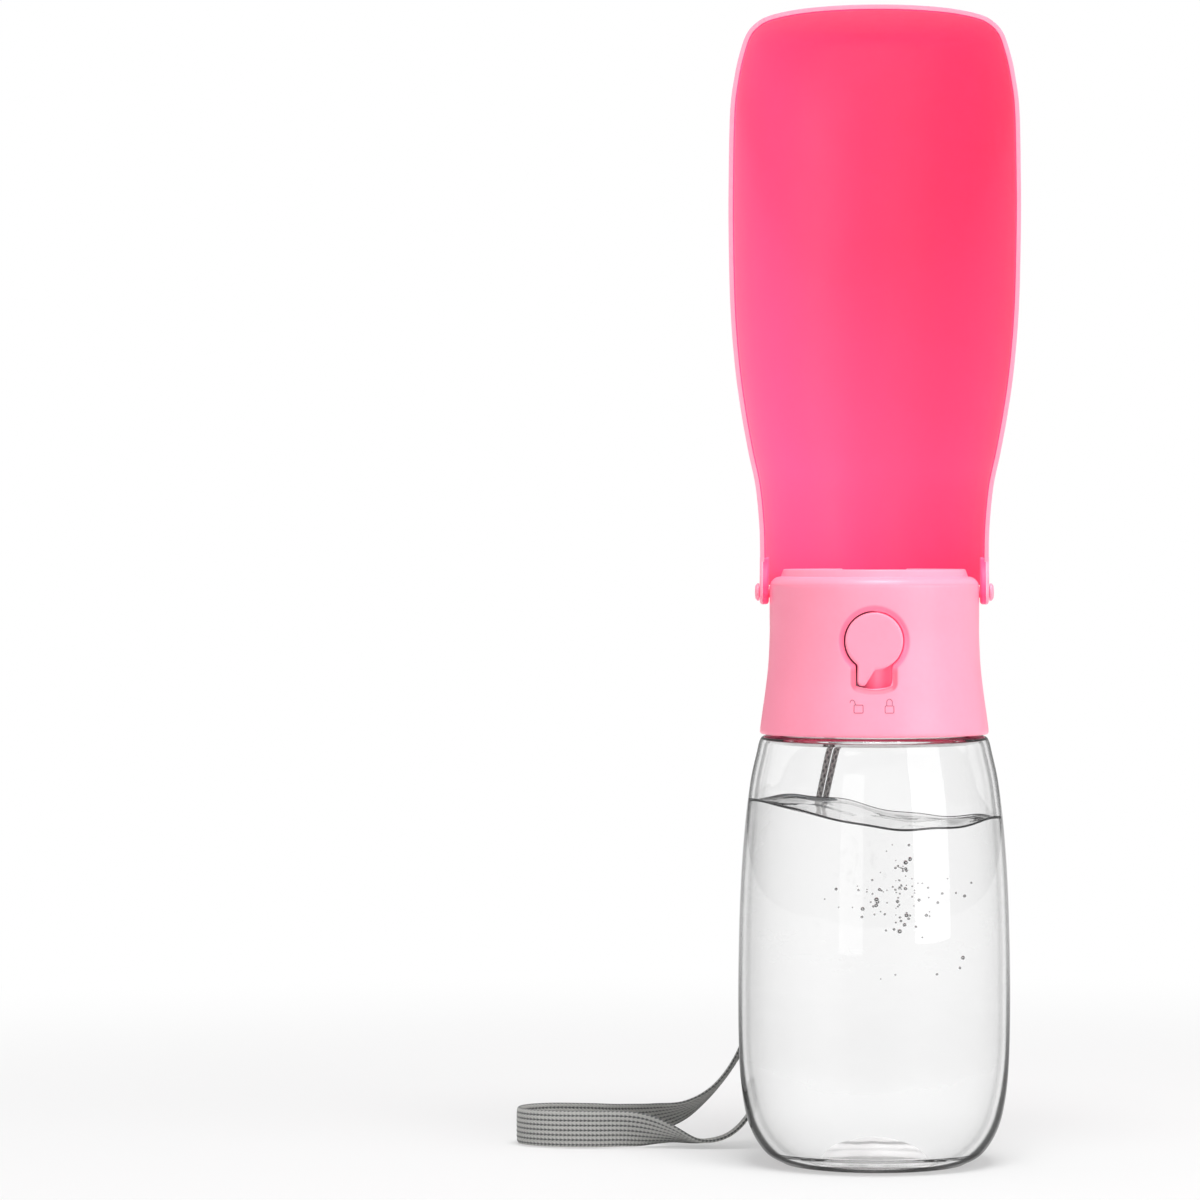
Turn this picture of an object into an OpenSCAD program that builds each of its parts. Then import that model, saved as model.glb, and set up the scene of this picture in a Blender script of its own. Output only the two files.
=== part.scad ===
// Travel water bottle for a dog: a clear bottle with a screw-on valve head and a drinking
// trough that folds over the head and down the bottle's front.
// Millimetres. +Z is up, the origin is on the bottle's axis where it stands.
// The button is on the front, towards -Y. The strap's eye is on the back, towards +Y.

/* [Bottle] */
// Height of the bottle's body, from the floor to its shoulder
bottle_h = 114.8; // [110:0.1:116]
// Thickness of the bottle's wall
bottle_wall = 1.5; // [1.2:0.1:1.8]
// Height of the neck's rim
neck_top = 126; // [125.5:0.1:126]
// Radius of the neck, outside
neck_r = 25.5; // [25.2:0.1:25.6]

/* [Head] */
// Height of the head's lower edge
head_bottom = 115.8; // [115.4:0.1:116.5]
// Height of the joint between the shell and the top cover
head_top = 156; // [155.5:0.1:156]
// Radius of the head at its waist
head_r = 28.2; // [27.8:0.1:28.3]
// Radius of the head at its lower edge
flare_r = 30.8; // [30:0.1:31]
// Lead of the screw thread
thread_pitch = 4; // [3.6:0.2:4]

/* [Button] */
// Height of the button's centre
button_z = 141.1; // [141.1:0.1:142.5]
// Radius of the button's round face
button_r = 7.65; // [7.2:0.05:7.7]
// Travel of the button
button_travel = 2.5; // [1.5:0.1:2.5]
// Angle of the pointer from straight down, towards the open lock
pointer_angle = 17; // [14:0.5:17]

/* [Trough] */
// Height of the hinge axis
hinge_z = 153.8; // [153.4:0.1:153.8]
// Thickness of the trough's wall
trough_wall = 1.5; // [1.4:0.1:1.6]
// Radius of the hinge pins
pin_r = 1.5; // [1.2:0.1:1.5]

/* [Strap] */
// Thickness of the cord
cord_d = 1.8; // [1.4:0.1:2]
// Width of the webbing
webbing_w = 10; // [8:0.5:10]
// Thickness of the webbing
webbing_t = 1.2; // [0.8:0.1:1.2]

/* [Hidden] */
$fn = 96;
tiny = 0.01;
fit = 0.05;        // radial play of a running fit
snug = 0.02;       // radial play between pieces of one body
clear = 0.3;       // play between pieces that move past each other

// ---- profiles ---------------------------------------------------------------------------
// Stations are [radius, height]. The curve through them is a Catmull-Rom spline.
bottle_stations = [[22, -1.6], [24.6, 0], [29.1, 2.6], [32.8, 8], [35, 15.2], [36.3, 27],
    [36.65, 47], [36.2, 70], [35.1, 88], [33.6, 102], [32.1, 110.4], [31.1, 113.6],
    [29.3, bottle_h], [26, bottle_h + 0.4]];
head_stations = [[30.9, head_bottom - 3], [flare_r, head_bottom + 0.6], [30.3, head_bottom + 4.6],
    [29.4, head_bottom + 11], [28.6, head_bottom + 18], [head_r, head_bottom + 26],
    [head_r, head_top - 8], [head_r, head_top], [head_r, head_top + 4]];
// Heights of the trough's stations are above the hinge axis.
trough_near = 1.8;
trough_stations = [[30.8, -4], [30.8, trough_near], [30.8, 12], [31.1, 19.5], [32.1, 29],
    [33.9, 37.5], [35.9, 48.5], [37.6, 61], [38.8, 76.5], [39.3, 96], [39.3, 111],
    [38.9, 129.6], [37.7, 139.1], [36.3, 145.4], [34.3, 150.8], [31, 154.1],
    [26.7, 155.8], [19.5, 157.15], [10, 157.95], [0, 158.2], [-10, 157.95]];

function spline_at(a, b, c, d, t) = 0.5 * (2 * b + (c - a) * t
    + (2 * a - 5 * b + 4 * c - d) * t * t + (3 * b - 3 * c + d - a) * t * t * t);
// Points on the curve from the second station to the last but one
function spline(p, steps) = [for (i = [1 : len(p) - 3]) for (k = [0 : steps - 1])
    spline_at(p[i - 1], p[i], p[i + 1], p[i + 2], k / steps), p[len(p) - 2]];
function unit(v) = v / norm(v);
// The same curve moved towards the axis by a wall's thickness
function inset(p, wall) = [for (i = [0 : len(p) - 1])
    let (along = unit(p[min(i + 1, len(p) - 1)] - p[max(i - 1, 0)]))
    [max(0, p[i].x - wall * along.y), p[i].y + wall * along.x]];
function reversed(p) = [for (i = [len(p) - 1 : -1 : 0]) p[i]];

// ---- screw thread -----------------------------------------------------------------------
thread_turns = 1.25;
thread_low = 117.6;
thread_depth = 1.05;
thread_root = 1.5;
thread_crest = 0.7;
female_r = neck_r + 1.5;
female_depth = 0.95;

// A ridge that winds up a cylinder. out is 1 on a neck and -1 inside a cap.
module thread_ridge(r, depth, low, turn_start, out) {
    steps_per_turn = 40;
    rings = round(thread_turns * steps_per_turn);
    bury = 0.5;
    function ring(i) = let (a = turn_start + 360 * i / steps_per_turn,
            z = low + thread_pitch * i / steps_per_turn,
            tall = min(1, min(i, rings - i) / 4), out_r = r + out * depth * tall)
        [for (q = [[r - out * bury, -thread_root / 2], [out_r, -thread_crest / 2],
                [out_r, thread_crest / 2], [r - out * bury, thread_root / 2]])
            [q.x * cos(a), q.x * sin(a), z + q.y]];
    points = [for (i = [0 : rings]) each ring(i)];
    skin = tube_faces(rings, 4);
    polyhedron(points, out > 0 ? [for (f = skin) reversed(f)] : skin);
}
// The faces of a closed tube of rings + 1 rings with sides points each
function tube_faces(rings, sides) = concat(
    [for (i = [0 : rings - 1]) for (j = [0 : sides - 1]) let (k = (j + 1) % sides)
        each [[i * sides + j, (i + 1) * sides + k, i * sides + k],
              [i * sides + j, (i + 1) * sides + j, (i + 1) * sides + k]]],
    [[for (j = [0 : sides - 1]) j]],
    [[for (j = [sides - 1 : -1 : 0]) rings * sides + j]]);

// ---- bottle -----------------------------------------------------------------------------
base_flat_r = 18.5;
punt_z = 2.3;
gate_pad_r = 11;
gate_recess = 0.25;
// The bottle's floor rises to a low dome with two moulded rings
floor_rings = [[19.2, 2.8], [17.2, 3.9], [14.6, 4.3], [13.2, 5.1], [12.2, 5.4], [11, 5.2],
               [9, 5], [7.8, 5.5], [6.6, 6.3], [5.4, 6.4], [4, 6.1], [0, 6]];
neck_in_r = neck_r - bottle_wall;
floor_z = 2.8;

module bottle() {
    outside = spline(bottle_stations, 5);
    inside = [for (p = reversed(inset(outside, bottle_wall)))
        if (p.y > floor_z + 1.4 && p.x > neck_in_r) p];
    color("aliceblue", 0.35) {
        rotate_extrude() polygon(concat(
            [[0, gate_recess], [gate_pad_r, gate_recess], [gate_pad_r + 1.4, punt_z],
             [base_flat_r - 1.8, punt_z], [base_flat_r, 0]],
            outside,
            [[neck_r, bottle_h], [neck_r, neck_top - 0.4], [neck_r - 0.4, neck_top],
             [neck_in_r + 0.4, neck_top], [neck_in_r, neck_top - 0.4],
             [neck_in_r, bottle_h - bottle_wall]],
            inside,
            [[25.5, floor_z]], floor_rings));
        thread_ridge(neck_r, thread_depth, thread_low, 0, 1);
    }
}

// A soft washer that lies on the neck's rim and seals against the plug's flange
module neck_gasket() {
    color("whitesmoke") difference() {
        translate([0, 0, neck_top + 0.15]) cylinder(h = 0.7, r = neck_r + 0.6);
        translate([0, 0, neck_top]) cylinder(h = 1, r = neck_in_r - 0.05);
    }
}

// ---- head -------------------------------------------------------------------------------
shell_in_r = 26.6;
plug_flange_z = 127;
plug_flange_t = 1.1;
front_y = -head_r;
button_face_y = front_y + 0.2;
button_t = 2.5;
dish_r = 8.95;
button_hole_r = button_r + 0.3;
notch_half = 4.8;
notch_drop = 12.65;
notch_floor_t = 0.8;
well_floor_y = button_face_y + button_t + button_travel + clear;
well_floor_t = 1.2;
well_r = 9.9;
well_low = 128.3;
well_skirt_y = -16.6;
sleeve_r = 5.2;
flange_r = 7.6;
boss_r = 2.15;
pin_in_x = 22.6;
ear_in_x = head_r + 0.35;
ear_out_x = 31.2;
ear_r = 3.75;
pin_head_r = 2.5;
pin_head_x = ear_out_x + 0.2;

// A cylinder along Y on the button's axis, from y1 back to y2
module y_rod(r, y1, y2) {
    translate([0, y2, button_z]) rotate([90, 0, 0]) cylinder(h = y2 - y1, r = r);
}
module y_tube(r_out, r_in, y1, y2) {
    difference() {
        y_rod(r_out, y1, y2);
        y_rod(r_in, y1 - 1, y2 + 1);
    }
}
// A cylinder along X on the hinge axis, from x1 to x2
module x_rod(r, x1, x2) {
    translate([x1, 0, hinge_z]) rotate([0, 90, 0]) cylinder(h = x2 - x1, r = r);
}

module head_wall() {
    outside = [for (p = spline(head_stations, 5)) if (p.y < head_top) p];
    rotate_extrude() polygon(concat(
        [[female_r + 0.6, head_bottom], [flare_r - 0.6, head_bottom]], outside,
        [[head_r, head_top], [shell_in_r, head_top], [shell_in_r, plug_flange_z],
         [female_r, plug_flange_z], [female_r, head_bottom + 0.6]]));
}
// The notch below the button that the pointer swings in
module notch(y1, y2) {
    translate([0, y2, button_z]) rotate([90, 0, 0]) linear_extrude(y2 - y1)
        intersection() {
            translate([-notch_half, -notch_drop - 1]) square([2 * notch_half, notch_drop + 1]);
            circle(r = notch_drop);
        }
}
lug_gap = 1.9;
lug_bar = 2.2;
lug_low = 143.4;
lug_high = 151.4;
lug_foot = 1.7;
// A bridge on the back of the head that the cord goes round
module strap_lug() {
    back = shell_in_r + 0.8;
    out = head_r + lug_gap + lug_bar;
    for (z = [lug_low, lug_high - lug_foot])
        translate([-lug_bar / 2, back, z]) cube([lug_bar, out - back, lug_foot]);
    translate([-lug_bar / 2, out - lug_bar, lug_low]) cube([lug_bar, lug_bar, lug_high - lug_low]);
}
module head_shell() {
    color("lightpink") {
        difference() {
            union() {
                head_wall();
                intersection() {
                    rotate_extrude() polygon([[0, well_low], [27.4, well_low], [27.4, 154],
                        [0, 154]]);
                    union() {
                        y_rod(well_r, -28, well_skirt_y);
                        notch_block();
                    }
                }
                for (s = [-1, 1]) scale_x(s) x_rod(boss_r, pin_in_x, shell_in_r + 0.4);
                strap_lug();
            }
            y_rod(dish_r, -40, front_y + 0.95);
            y_rod(button_hole_r, -40, well_floor_y);
            notch(-40, well_floor_y);
            y_rod(well_r - 1.4, well_floor_y + well_floor_t, well_skirt_y + 1);
            y_rod(sleeve_r + fit, -40, 0);
            for (s = [-1, 1]) scale_x(s) x_rod(pin_r + snug, pin_in_x - 1, 40);
        }
        thread_ridge(female_r, female_depth, thread_low + thread_pitch / 2, 0, -1);
    }
}
// The walls round the notch, behind the head's face
module notch_block() {
    translate([-notch_half - 1.2, -28, button_z - notch_drop - notch_floor_t])
        cube([2 * notch_half + 2.4, 28 + well_floor_y + well_floor_t,
            notch_drop + notch_floor_t]);
}
module scale_x(s) {
    if (s < 0) mirror([1, 0, 0]) children(); else children();
}

cover_top = head_top + 2;
ring_top = cover_top + 2;
ring_r = 25.2;
spout_y = -9.5;
spout_r = 3.8;
spout_bore = 2.6;
// The lid of the head, with a low ring round a shallow dish that is open to the trough
module top_cover() {
    fillet = 2;
    color("lightpink") difference() {
        union() {
            rotate_extrude() polygon(concat(
                [[0, head_top + 0.1], [head_r, head_top + 0.1]],
                [for (a = [0 : 15 : 90]) [head_r - fillet + fillet * cos(a),
                    cover_top - fillet + fillet * sin(a)]],
                [[ring_r, cover_top], [ring_r, ring_top - 0.5], [ring_r - 0.5, ring_top],
                 [ring_r - 1.3, ring_top], [ring_r - 1.8, ring_top - 0.5],
                 [ring_r - 1.8, cover_top - 0.7], [0, cover_top - 0.7]]));
            difference() {
                translate([0, 0, head_top - 2.6]) cylinder(h = 2.8, r = shell_in_r - snug);
                translate([0, 0, head_top - 3]) cylinder(h = 4, r = shell_in_r - 1.4);
                translate([-40, -4, head_top - 5]) cube([80, 8, 4.9]);
            }
        }
        translate([0, 0, ring_top - 1.2]) rotate([0, 0, 69]) rotate_extrude(angle = 42)
            square([40, 5]);
        translate([0, spout_y, head_top - 1]) cylinder(h = 6, r = spout_r + snug);
    }
}

// ---- plug and valve ---------------------------------------------------------------------
plug_r = 23.6;
plug_low_r = 22.4;
plug_wall = 2;
plug_bottom = 117;
ring_groove_z = 125.1;
window_count = 6;
window_z = 119.9;
inlet_y = 3;
port_r = 2.6;
vent_at = [14, 6, 0];
// The flange is thinner below the walls round the button's notch
flange_step_t = 0.6;
// The cup that closes the neck and carries the valve. Water enters it through its windows.
module plug_cup() {
    step_z = ring_groove_z - 1.2;
    color("palevioletred") difference() {
        rotate_extrude() polygon([[0, plug_bottom + 0.7], [1.4, plug_bottom + 0.7],
            [1.4, plug_bottom + 0.9], [18.5, plug_bottom + 0.9], [19.1, plug_bottom],
            [plug_low_r - 0.8, plug_bottom], [plug_low_r, plug_bottom + 0.8],
            [plug_low_r, step_z - 0.6], [plug_r, step_z],
            [plug_r, ring_groove_z - 0.6], [plug_r - 0.9, ring_groove_z - 0.6],
            [plug_r - 0.9, ring_groove_z + 0.6], [plug_r, ring_groove_z + 0.6],
            [plug_r, plug_flange_z], [shell_in_r - snug, plug_flange_z],
            [shell_in_r - snug, plug_flange_z + plug_flange_t], [0, plug_flange_z + plug_flange_t],
            [0, plug_flange_z], [plug_low_r - plug_wall, plug_flange_z],
            [plug_low_r - plug_wall, plug_bottom + 2.4], [0, plug_bottom + 2.4]]);
        for (i = [0 : window_count - 1]) rotate([0, 0, 30 + 360 * i / window_count])
            translate([plug_low_r - 3, -3.5, window_z]) cube([6, 7, 3.2]);
        translate([0, inlet_y, plug_flange_z - 1]) cylinder(h = 4, r = port_r);
        translate(vent_at) translate([0, 0, plug_flange_z - 1]) cylinder(h = 4, r = 1.6);
        translate([-notch_half - 1.4, -28, plug_flange_z + flange_step_t])
            cube([2 * notch_half + 2.8, 28 + well_floor_y + well_floor_t + 0.2, 2]);
    }
}
module plug_ring() {
    color("whitesmoke") translate([0, 0, ring_groove_z]) rotate_extrude()
        translate([plug_r - 0.3, 0]) circle(r = 0.5, $fn = 24);
}
valve_r = 5.6;
valve_bore = 4.2;
valve_front = -16;
valve_back = 10.5;
seat_y = -4;
// A barrel behind the button. Water comes up into its rear room and leaves from its front room.
module valve_housing() {
    foot_z = plug_flange_z + plug_flange_t + snug;
    foot_front = -4;
    color("mistyrose") difference() {
        union() {
            y_rod(valve_r, valve_front, valve_back);
            translate([-4.4, foot_front, foot_z])
                cube([8.8, valve_back - foot_front, button_z - 3 - foot_z]);
            translate([0, spout_y, button_z]) cylinder(h = 8, r = spout_r);
        }
        y_rod(valve_bore, valve_front + 1.5, valve_back - 1.5);
        y_rod(2.4 + fit, valve_front - 1, valve_front + 2);
        translate([0, inlet_y, foot_z - 1]) cylinder(h = button_z - 2 - foot_z, r = port_r);
        translate([0, spout_y, button_z]) cylinder(h = 9, r = spout_bore);
        translate([0, spout_y, button_z + 6]) cylinder(h = 3, r = spout_r - 0.6);
    }
}
module valve_seat() {
    color("whitesmoke") y_tube(valve_bore - snug, 2.5, seat_y - 1, seat_y);
}
// The nozzle through the lid, whose lower end sits in the valve's outlet
module outlet_spout() {
    color("lightpink") translate([0, spout_y, 0]) difference() {
        union() {
            translate([0, 0, button_z + 6.02]) cylinder(h = 2, r = spout_r - 0.62);
            translate([0, 0, button_z + 8.02]) cylinder(h = cover_top + 0.4 - button_z - 8.02,
                r = spout_r);
        }
        cylinder(h = 200, r = spout_bore);
    }
}
// The air valve: a soft stud with a domed cap over its vent
module vent_valve() {
    color("whitesmoke") translate(vent_at) {
        translate([0, 0, plug_flange_z - 0.8]) cylinder(h = 3.2, r = 1.5);
        translate([0, 0, plug_flange_z + plug_flange_t + 0.02]) cylinder(h = 1, r1 = 3, r2 = 1.6);
    }
}
module sleeve_ring() {
    color("mistyrose") y_tube(well_r - 1.42, sleeve_r + 0.35, -19.7, -18.5);
}
module hinge_pin() {
    color("lightpink") {
        x_rod(pin_r, pin_in_x + 0.3, pin_head_x + 0.4);
        translate([pin_head_x, 0, hinge_z]) rotate([0, 90, 0]) rotate_extrude()
            polygon([[0, 0], [pin_head_r, 0], [pin_head_r, 0.4], [2.1, 0.9], [1.2, 1.15], [0, 1.2]]);
    }
}
module hinge_pin_left() { mirror([1, 0, 0]) hinge_pin(); }
module hinge_pin_right() { hinge_pin(); }

// ---- lock and button --------------------------------------------------------------------
stem_r = 2.4;
key_w = 1.2;
key_r = 3.4;
key_front = -21.6;
key_l = 2.8;
stem_front = button_face_y + button_t - 0.6;
stem_back = seat_y + 0.15;
// Turns with the button and lets its keys slide
module lock_sleeve() {
    color("mistyrose") difference() {
        union() {
            y_rod(sleeve_r, well_floor_y + 0.2, -17);
            y_rod(flange_r, well_floor_y + well_floor_t + clear, -20);
        }
        y_rod(stem_r + fit, -40, 0);
        for (a = [0, 90]) translate([0, -30, button_z]) rotate([0, a, 0])
            translate([-key_r - clear, 0, -key_w / 2 - clear])
                cube([2 * key_r + 2 * clear, 30, key_w + 2 * clear]);
    }
}
// The button's round face and pointer, drawn with the pointer straight down
module button_outline(shrink) {
    circle(r = button_r - shrink);
    hull() {
        translate([0, -11.15]) circle(r = 1.3 - shrink, $fn = 32);
        translate([-2.5 + shrink, -6.6]) square([5 - 2 * shrink, 0.1]);
    }
}
module button_cap() {
    bevel = 0.5;
    color("lightpink") difference() {
        translate([0, 0, button_z]) rotate([0, pointer_angle, 0]) union() {
            translate([0, button_face_y + button_t, 0]) rotate([90, 0, 0])
                linear_extrude(button_t - bevel) button_outline(0);
            translate([0, button_face_y + bevel + tiny, 0]) rotate([90, 0, 0])
                linear_extrude(bevel + tiny) button_outline(bevel);
        }
        y_rod(stem_r + snug, stem_front, 0);
    }
}
module button_stem() {
    neck_r2 = 1.4;
    color("mistyrose") {
        y_rod(stem_r, stem_front + snug, seat_y - 3.4);
        y_rod(neck_r2, seat_y - 3.4 - tiny, stem_back + 2.6);
        intersection() {
            for (a = [0, 90]) translate([0, key_front, button_z]) rotate([0, a, 0])
                translate([-key_r, 0, -key_w / 2]) cube([2 * key_r, key_l, key_w]);
            y_rod(key_r, -30, 0);
        }
    }
}
module stem_seal() {
    color("whitesmoke") y_tube(valve_bore - 0.15, stem_r + snug, -14.2, -12.8);
}
module valve_plug() {
    color("whitesmoke") y_tube(3.7, 1.4 + snug, stem_back, stem_back + 1.6);
}
spring_start = stem_back + 1.75;
spring_end = valve_back - 1.7;
// A compression spring behind the plug
module button_spring() {
    wire = 0.3;
    mean_r = 2.6;
    turns = 5;
    per_turn = 14;
    rings = turns * per_turn;
    sides = 6;
    lead = (spring_end - spring_start - 2 * wire) / rings;
    points = [for (i = [0 : rings]) let (a = 360 * i / per_turn) for (j = [0 : sides - 1])
        let (r = mean_r + wire * cos(60 * j)) [r * cos(a),
            spring_start + wire + lead * i + wire * sin(60 * j), button_z + r * sin(a)]];
    color("silver") polyhedron(points, tube_faces(rings, sides));
}

// ---- trough -----------------------------------------------------------------------------
liner_t = 0.5;
liner_gap = 0.15;
rim_y = -0.05;
liner_rim_y = 1.2;
rib_depth = 1.7;
// Half of a turned shell, behind the plane y = from_y. Its walls lie outer_in and inner_in
// inside the trough's outer face.
module half_shell(outer_in, inner_in, from_y) {
    line = spline(trough_stations, 4);
    outer = [for (p = inset(line, outer_in)) if (p.y > trough_near - tiny) p];
    inner = [for (p = inset(line, inner_in)) if (p.y > trough_near - tiny) p];
    translate([0, 0, hinge_z]) intersection() {
        rotate_extrude() polygon(concat(outer, [[0, outer[len(outer) - 1].y]],
            [[0, inner[len(inner) - 1].y]], reversed(inner)));
        translate([-50, from_y, -1]) cube([100, 50, 170]);
    }
}
module trough() {
    color("lightpink") difference() {
        union() {
            half_shell(0, trough_wall, rim_y);
            for (s = [-1, 1]) scale_x(s) {
                x_rod(ear_r, ear_in_x, ear_out_x);
                translate([ear_in_x + 0.35, 0.4, hinge_z]) cube([rib_depth, ear_r - 0.8, 9]);
            }
        }
        half_shell(trough_wall - liner_t - liner_gap, trough_wall + 1, liner_rim_y);
        for (s = [-1, 1]) scale_x(s) x_rod(pin_r + fit, 20, 40);
    }
}
// The darker inside skin of the trough
module trough_liner() {
    color("deeppink") half_shell(trough_wall - liner_t, trough_wall, liner_rim_y + liner_gap);
}

// ---- strap ------------------------------------------------------------------------------
// The cord leaves the block, goes round the lug's bar and comes back to the block.
cord_route = [[-16.6, 36.9, 92.5], [-15.4, 36.8, 99], [-13.4, 36.4, 108], [-11, 35.7, 118],
    [-8.4, 35, 127], [-5.8, 34.4, 136], [-3.8, 33.8, 142], [-2.6, 32.8, 145.6],
    [-2.1, 31.2, 147.1], [-2.1, 30.1, 147.5], [-1.8, 29.4, 147.8], [-1.1, 29.15, 147.9],
    [0, 29.15, 148], [1.1, 29.15, 148], [1.8, 29.4, 147.9], [2.1, 30.1, 147.8],
    [2.1, 31.2, 147.5], [2.3, 32.6, 146.8], [1.2, 34.2, 145], [-1.2, 35, 141.6],
    [-3.6, 36, 135.6], [-6.2, 36.8, 127], [-8.8, 37.5, 118], [-11.2, 38, 108.5],
    [-13.4, 38.3, 99], [-14.7, 38.4, 92.5]];
block_centre = [-17.5, 37.7, 86];
block_tilt = 10.6;
block_turn = 24;
block_size = [11.4, 5.6, 16];
// Each row of the webbing's route is a point and the direction of the webbing's width.
webbing_route = [[-18.5, 37, 79.2, -0.9, -0.41, 0.17], [-20.5, 36.1, 69.5, -0.81, -0.59, 0],
    [-22.6, 34.7, 57, -0.68, -0.73, 0], [-24.7, 33.2, 44.5, -0.5, -0.87, 0],
    [-27.2, 31.6, 32, -0.3, -0.95, 0],
    [-30.2, 30.4, 20, -0.1, -0.99, 0], [-34, 29.8, 10, 0, -1, 0],
    [-40, 29.6, 3.6, 0, -1, 0.05], [-48, 29.2, 1.8, 0, -0.99, 0.15],
    [-57, 28.2, 3.9, 0, -0.78, 0.63], [-67, 26, 5.3, 0, -0.2, 0.98],
    [-78, 24.6, 5.4, 0, 0, 1], [-88, 25.2, 5.4, 0, 0, 1], [-95.5, 28.6, 5.4, 0, 0, 1],
    [-98.6, 34.6, 5.4, 0, 0, 1], [-96.5, 40.8, 5.4, 0, 0, 1], [-90, 44.4, 5.4, 0, 0, 1],
    [-80, 44.6, 5.4, 0, -0.05, 1], [-70, 41.6, 5.8, 0, -0.25, 0.97],
    [-60, 37.2, 7.6, 0, -0.6, 0.8], [-51, 33.8, 11, 0, -0.88, 0.47],
    [-43.4, 32.6, 17, 0, -0.98, 0.2], [-37.4, 33, 25.6, -0.1, -0.99, 0.05],
    [-32.6, 34.4, 36.6, -0.32, -0.95, 0], [-28.8, 36, 48.6, -0.5, -0.86, 0],
    [-25.3, 37.7, 60.6, -0.66, -0.75, 0], [-21.6, 38.7, 71.5, -0.79, -0.61, 0],
    [-19.1, 38.4, 79.3, -0.9, -0.41, 0.17]];

// The route again with extra points between, and its first and last points kept
function route(p, steps) = spline(concat([2 * p[0] - p[1]], p, [2 * p[len(p) - 1] - p[len(p) - 2]]),
    steps);
function along(p, i) = unit(p[min(i + 1, len(p) - 1)] - p[max(i - 1, 0)]);
function side_of(t, hint) = unit(hint - (hint * t) * t);

module strap_cord() {
    line = route(cord_route, 3);
    sides = 8;
    points = [for (i = [0 : len(line) - 1]) let (t = along(line, i), u = side_of(t, [0, 1, 0.3]),
        v = cross(t, u)) for (j = [0 : sides - 1])
        line[i] + cord_d / 2 * (cos(45 * j) * u + sin(45 * j) * v)];
    color("darkgray") polyhedron(points, tube_faces(len(line) - 1, sides));
}
module strap_webbing() {
    rows = route(webbing_route, 2);
    line = [for (q = rows) [q[0], q[1], q[2]]];
    points = [for (i = [0 : len(rows) - 1]) let (t = along(line, i),
        u = side_of(t, [rows[i][3], rows[i][4], rows[i][5]]) * webbing_w / 2,
        v = unit(cross(t, u)) * webbing_t / 2)
        each [line[i] + u + v, line[i] - u + v, line[i] - u - v, line[i] + u - v]];
    color("lightgray") polyhedron(points, tube_faces(len(line) - 1, 4));
}
module strap_block() {
    w = block_size.x;
    t = block_size.y;
    h = block_size.z;
    round_r = 2;
    slot_depth = 4.4;
    color("lightslategray") translate(block_centre) rotate([0, block_tilt, 0])
        rotate([0, 0, block_turn]) difference() {
            hull() for (x = [-1, 1], z = [-1, 1])
                translate([x * (w / 2 - round_r), 0, z * (h / 2 - round_r)])
                    rotate([90, 0, 0]) cylinder(h = t, r = round_r, center = true, $fn = 24);
            for (s = [-1, 1]) translate([0, s * t / 2, 0]) difference() {
                cube([w - 4, 0.5, h - 6], center = true);
                cube([w - 5.6, 1, h - 7.6], center = true);
            }
            translate([0, 0, h / 2]) cube([6.2, 3.8, slot_depth], center = true);
            translate([0, 0, -h / 2]) cube([webbing_w + 0.6, 3.8, slot_depth], center = true);
        }
}

bottle();
neck_gasket();
head_shell();
top_cover();
plug_cup();
plug_ring();
valve_housing();
valve_seat();
outlet_spout();
vent_valve();
sleeve_ring();
hinge_pin_left();
hinge_pin_right();
strap_cord();
strap_block();
strap_webbing();
lock_sleeve();
button_cap();
button_stem();
stem_seal();
valve_plug();
button_spring();
trough();
trough_liner();
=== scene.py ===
"""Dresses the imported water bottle: smooth shells, finishes, water, strap, stage and camera.

Sizes are in millimetres in the plans below and turned into metres when a mesh is made.
+Z is up, the button is on the front, towards -Y, and the strap hangs down the back.
"""

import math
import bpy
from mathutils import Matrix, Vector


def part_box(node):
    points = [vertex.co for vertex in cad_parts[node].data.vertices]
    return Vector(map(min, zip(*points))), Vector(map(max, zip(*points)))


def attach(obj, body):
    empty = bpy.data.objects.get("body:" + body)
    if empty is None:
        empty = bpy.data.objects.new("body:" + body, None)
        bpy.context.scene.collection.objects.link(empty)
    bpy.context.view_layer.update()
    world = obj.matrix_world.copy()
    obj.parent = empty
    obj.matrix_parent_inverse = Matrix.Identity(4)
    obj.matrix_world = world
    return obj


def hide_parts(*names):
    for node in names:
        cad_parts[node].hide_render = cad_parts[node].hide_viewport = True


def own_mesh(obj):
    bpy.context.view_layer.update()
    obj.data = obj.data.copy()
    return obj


bl_info = {
    "name": "Travel water bottle with drinking trough",
    "version": (1, 0, 0),
    "blender": (4, 5, 0),
    "location": "View3D > Sidebar > Bottle",
    "description": "Builds a clear bottle with a valve head, a folding trough and a wrist strap",
    "category": "Add Mesh",
}

import bmesh
import bpy
from mathutils import Matrix, Vector

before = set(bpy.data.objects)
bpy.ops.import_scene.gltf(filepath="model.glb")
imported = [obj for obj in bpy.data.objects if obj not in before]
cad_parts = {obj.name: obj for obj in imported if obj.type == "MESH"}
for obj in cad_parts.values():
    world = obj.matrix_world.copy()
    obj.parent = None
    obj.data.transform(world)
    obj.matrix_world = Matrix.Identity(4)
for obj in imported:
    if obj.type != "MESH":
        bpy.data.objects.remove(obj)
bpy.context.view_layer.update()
MM = 0.001
FULL_TURN = 2 * math.pi

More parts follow.
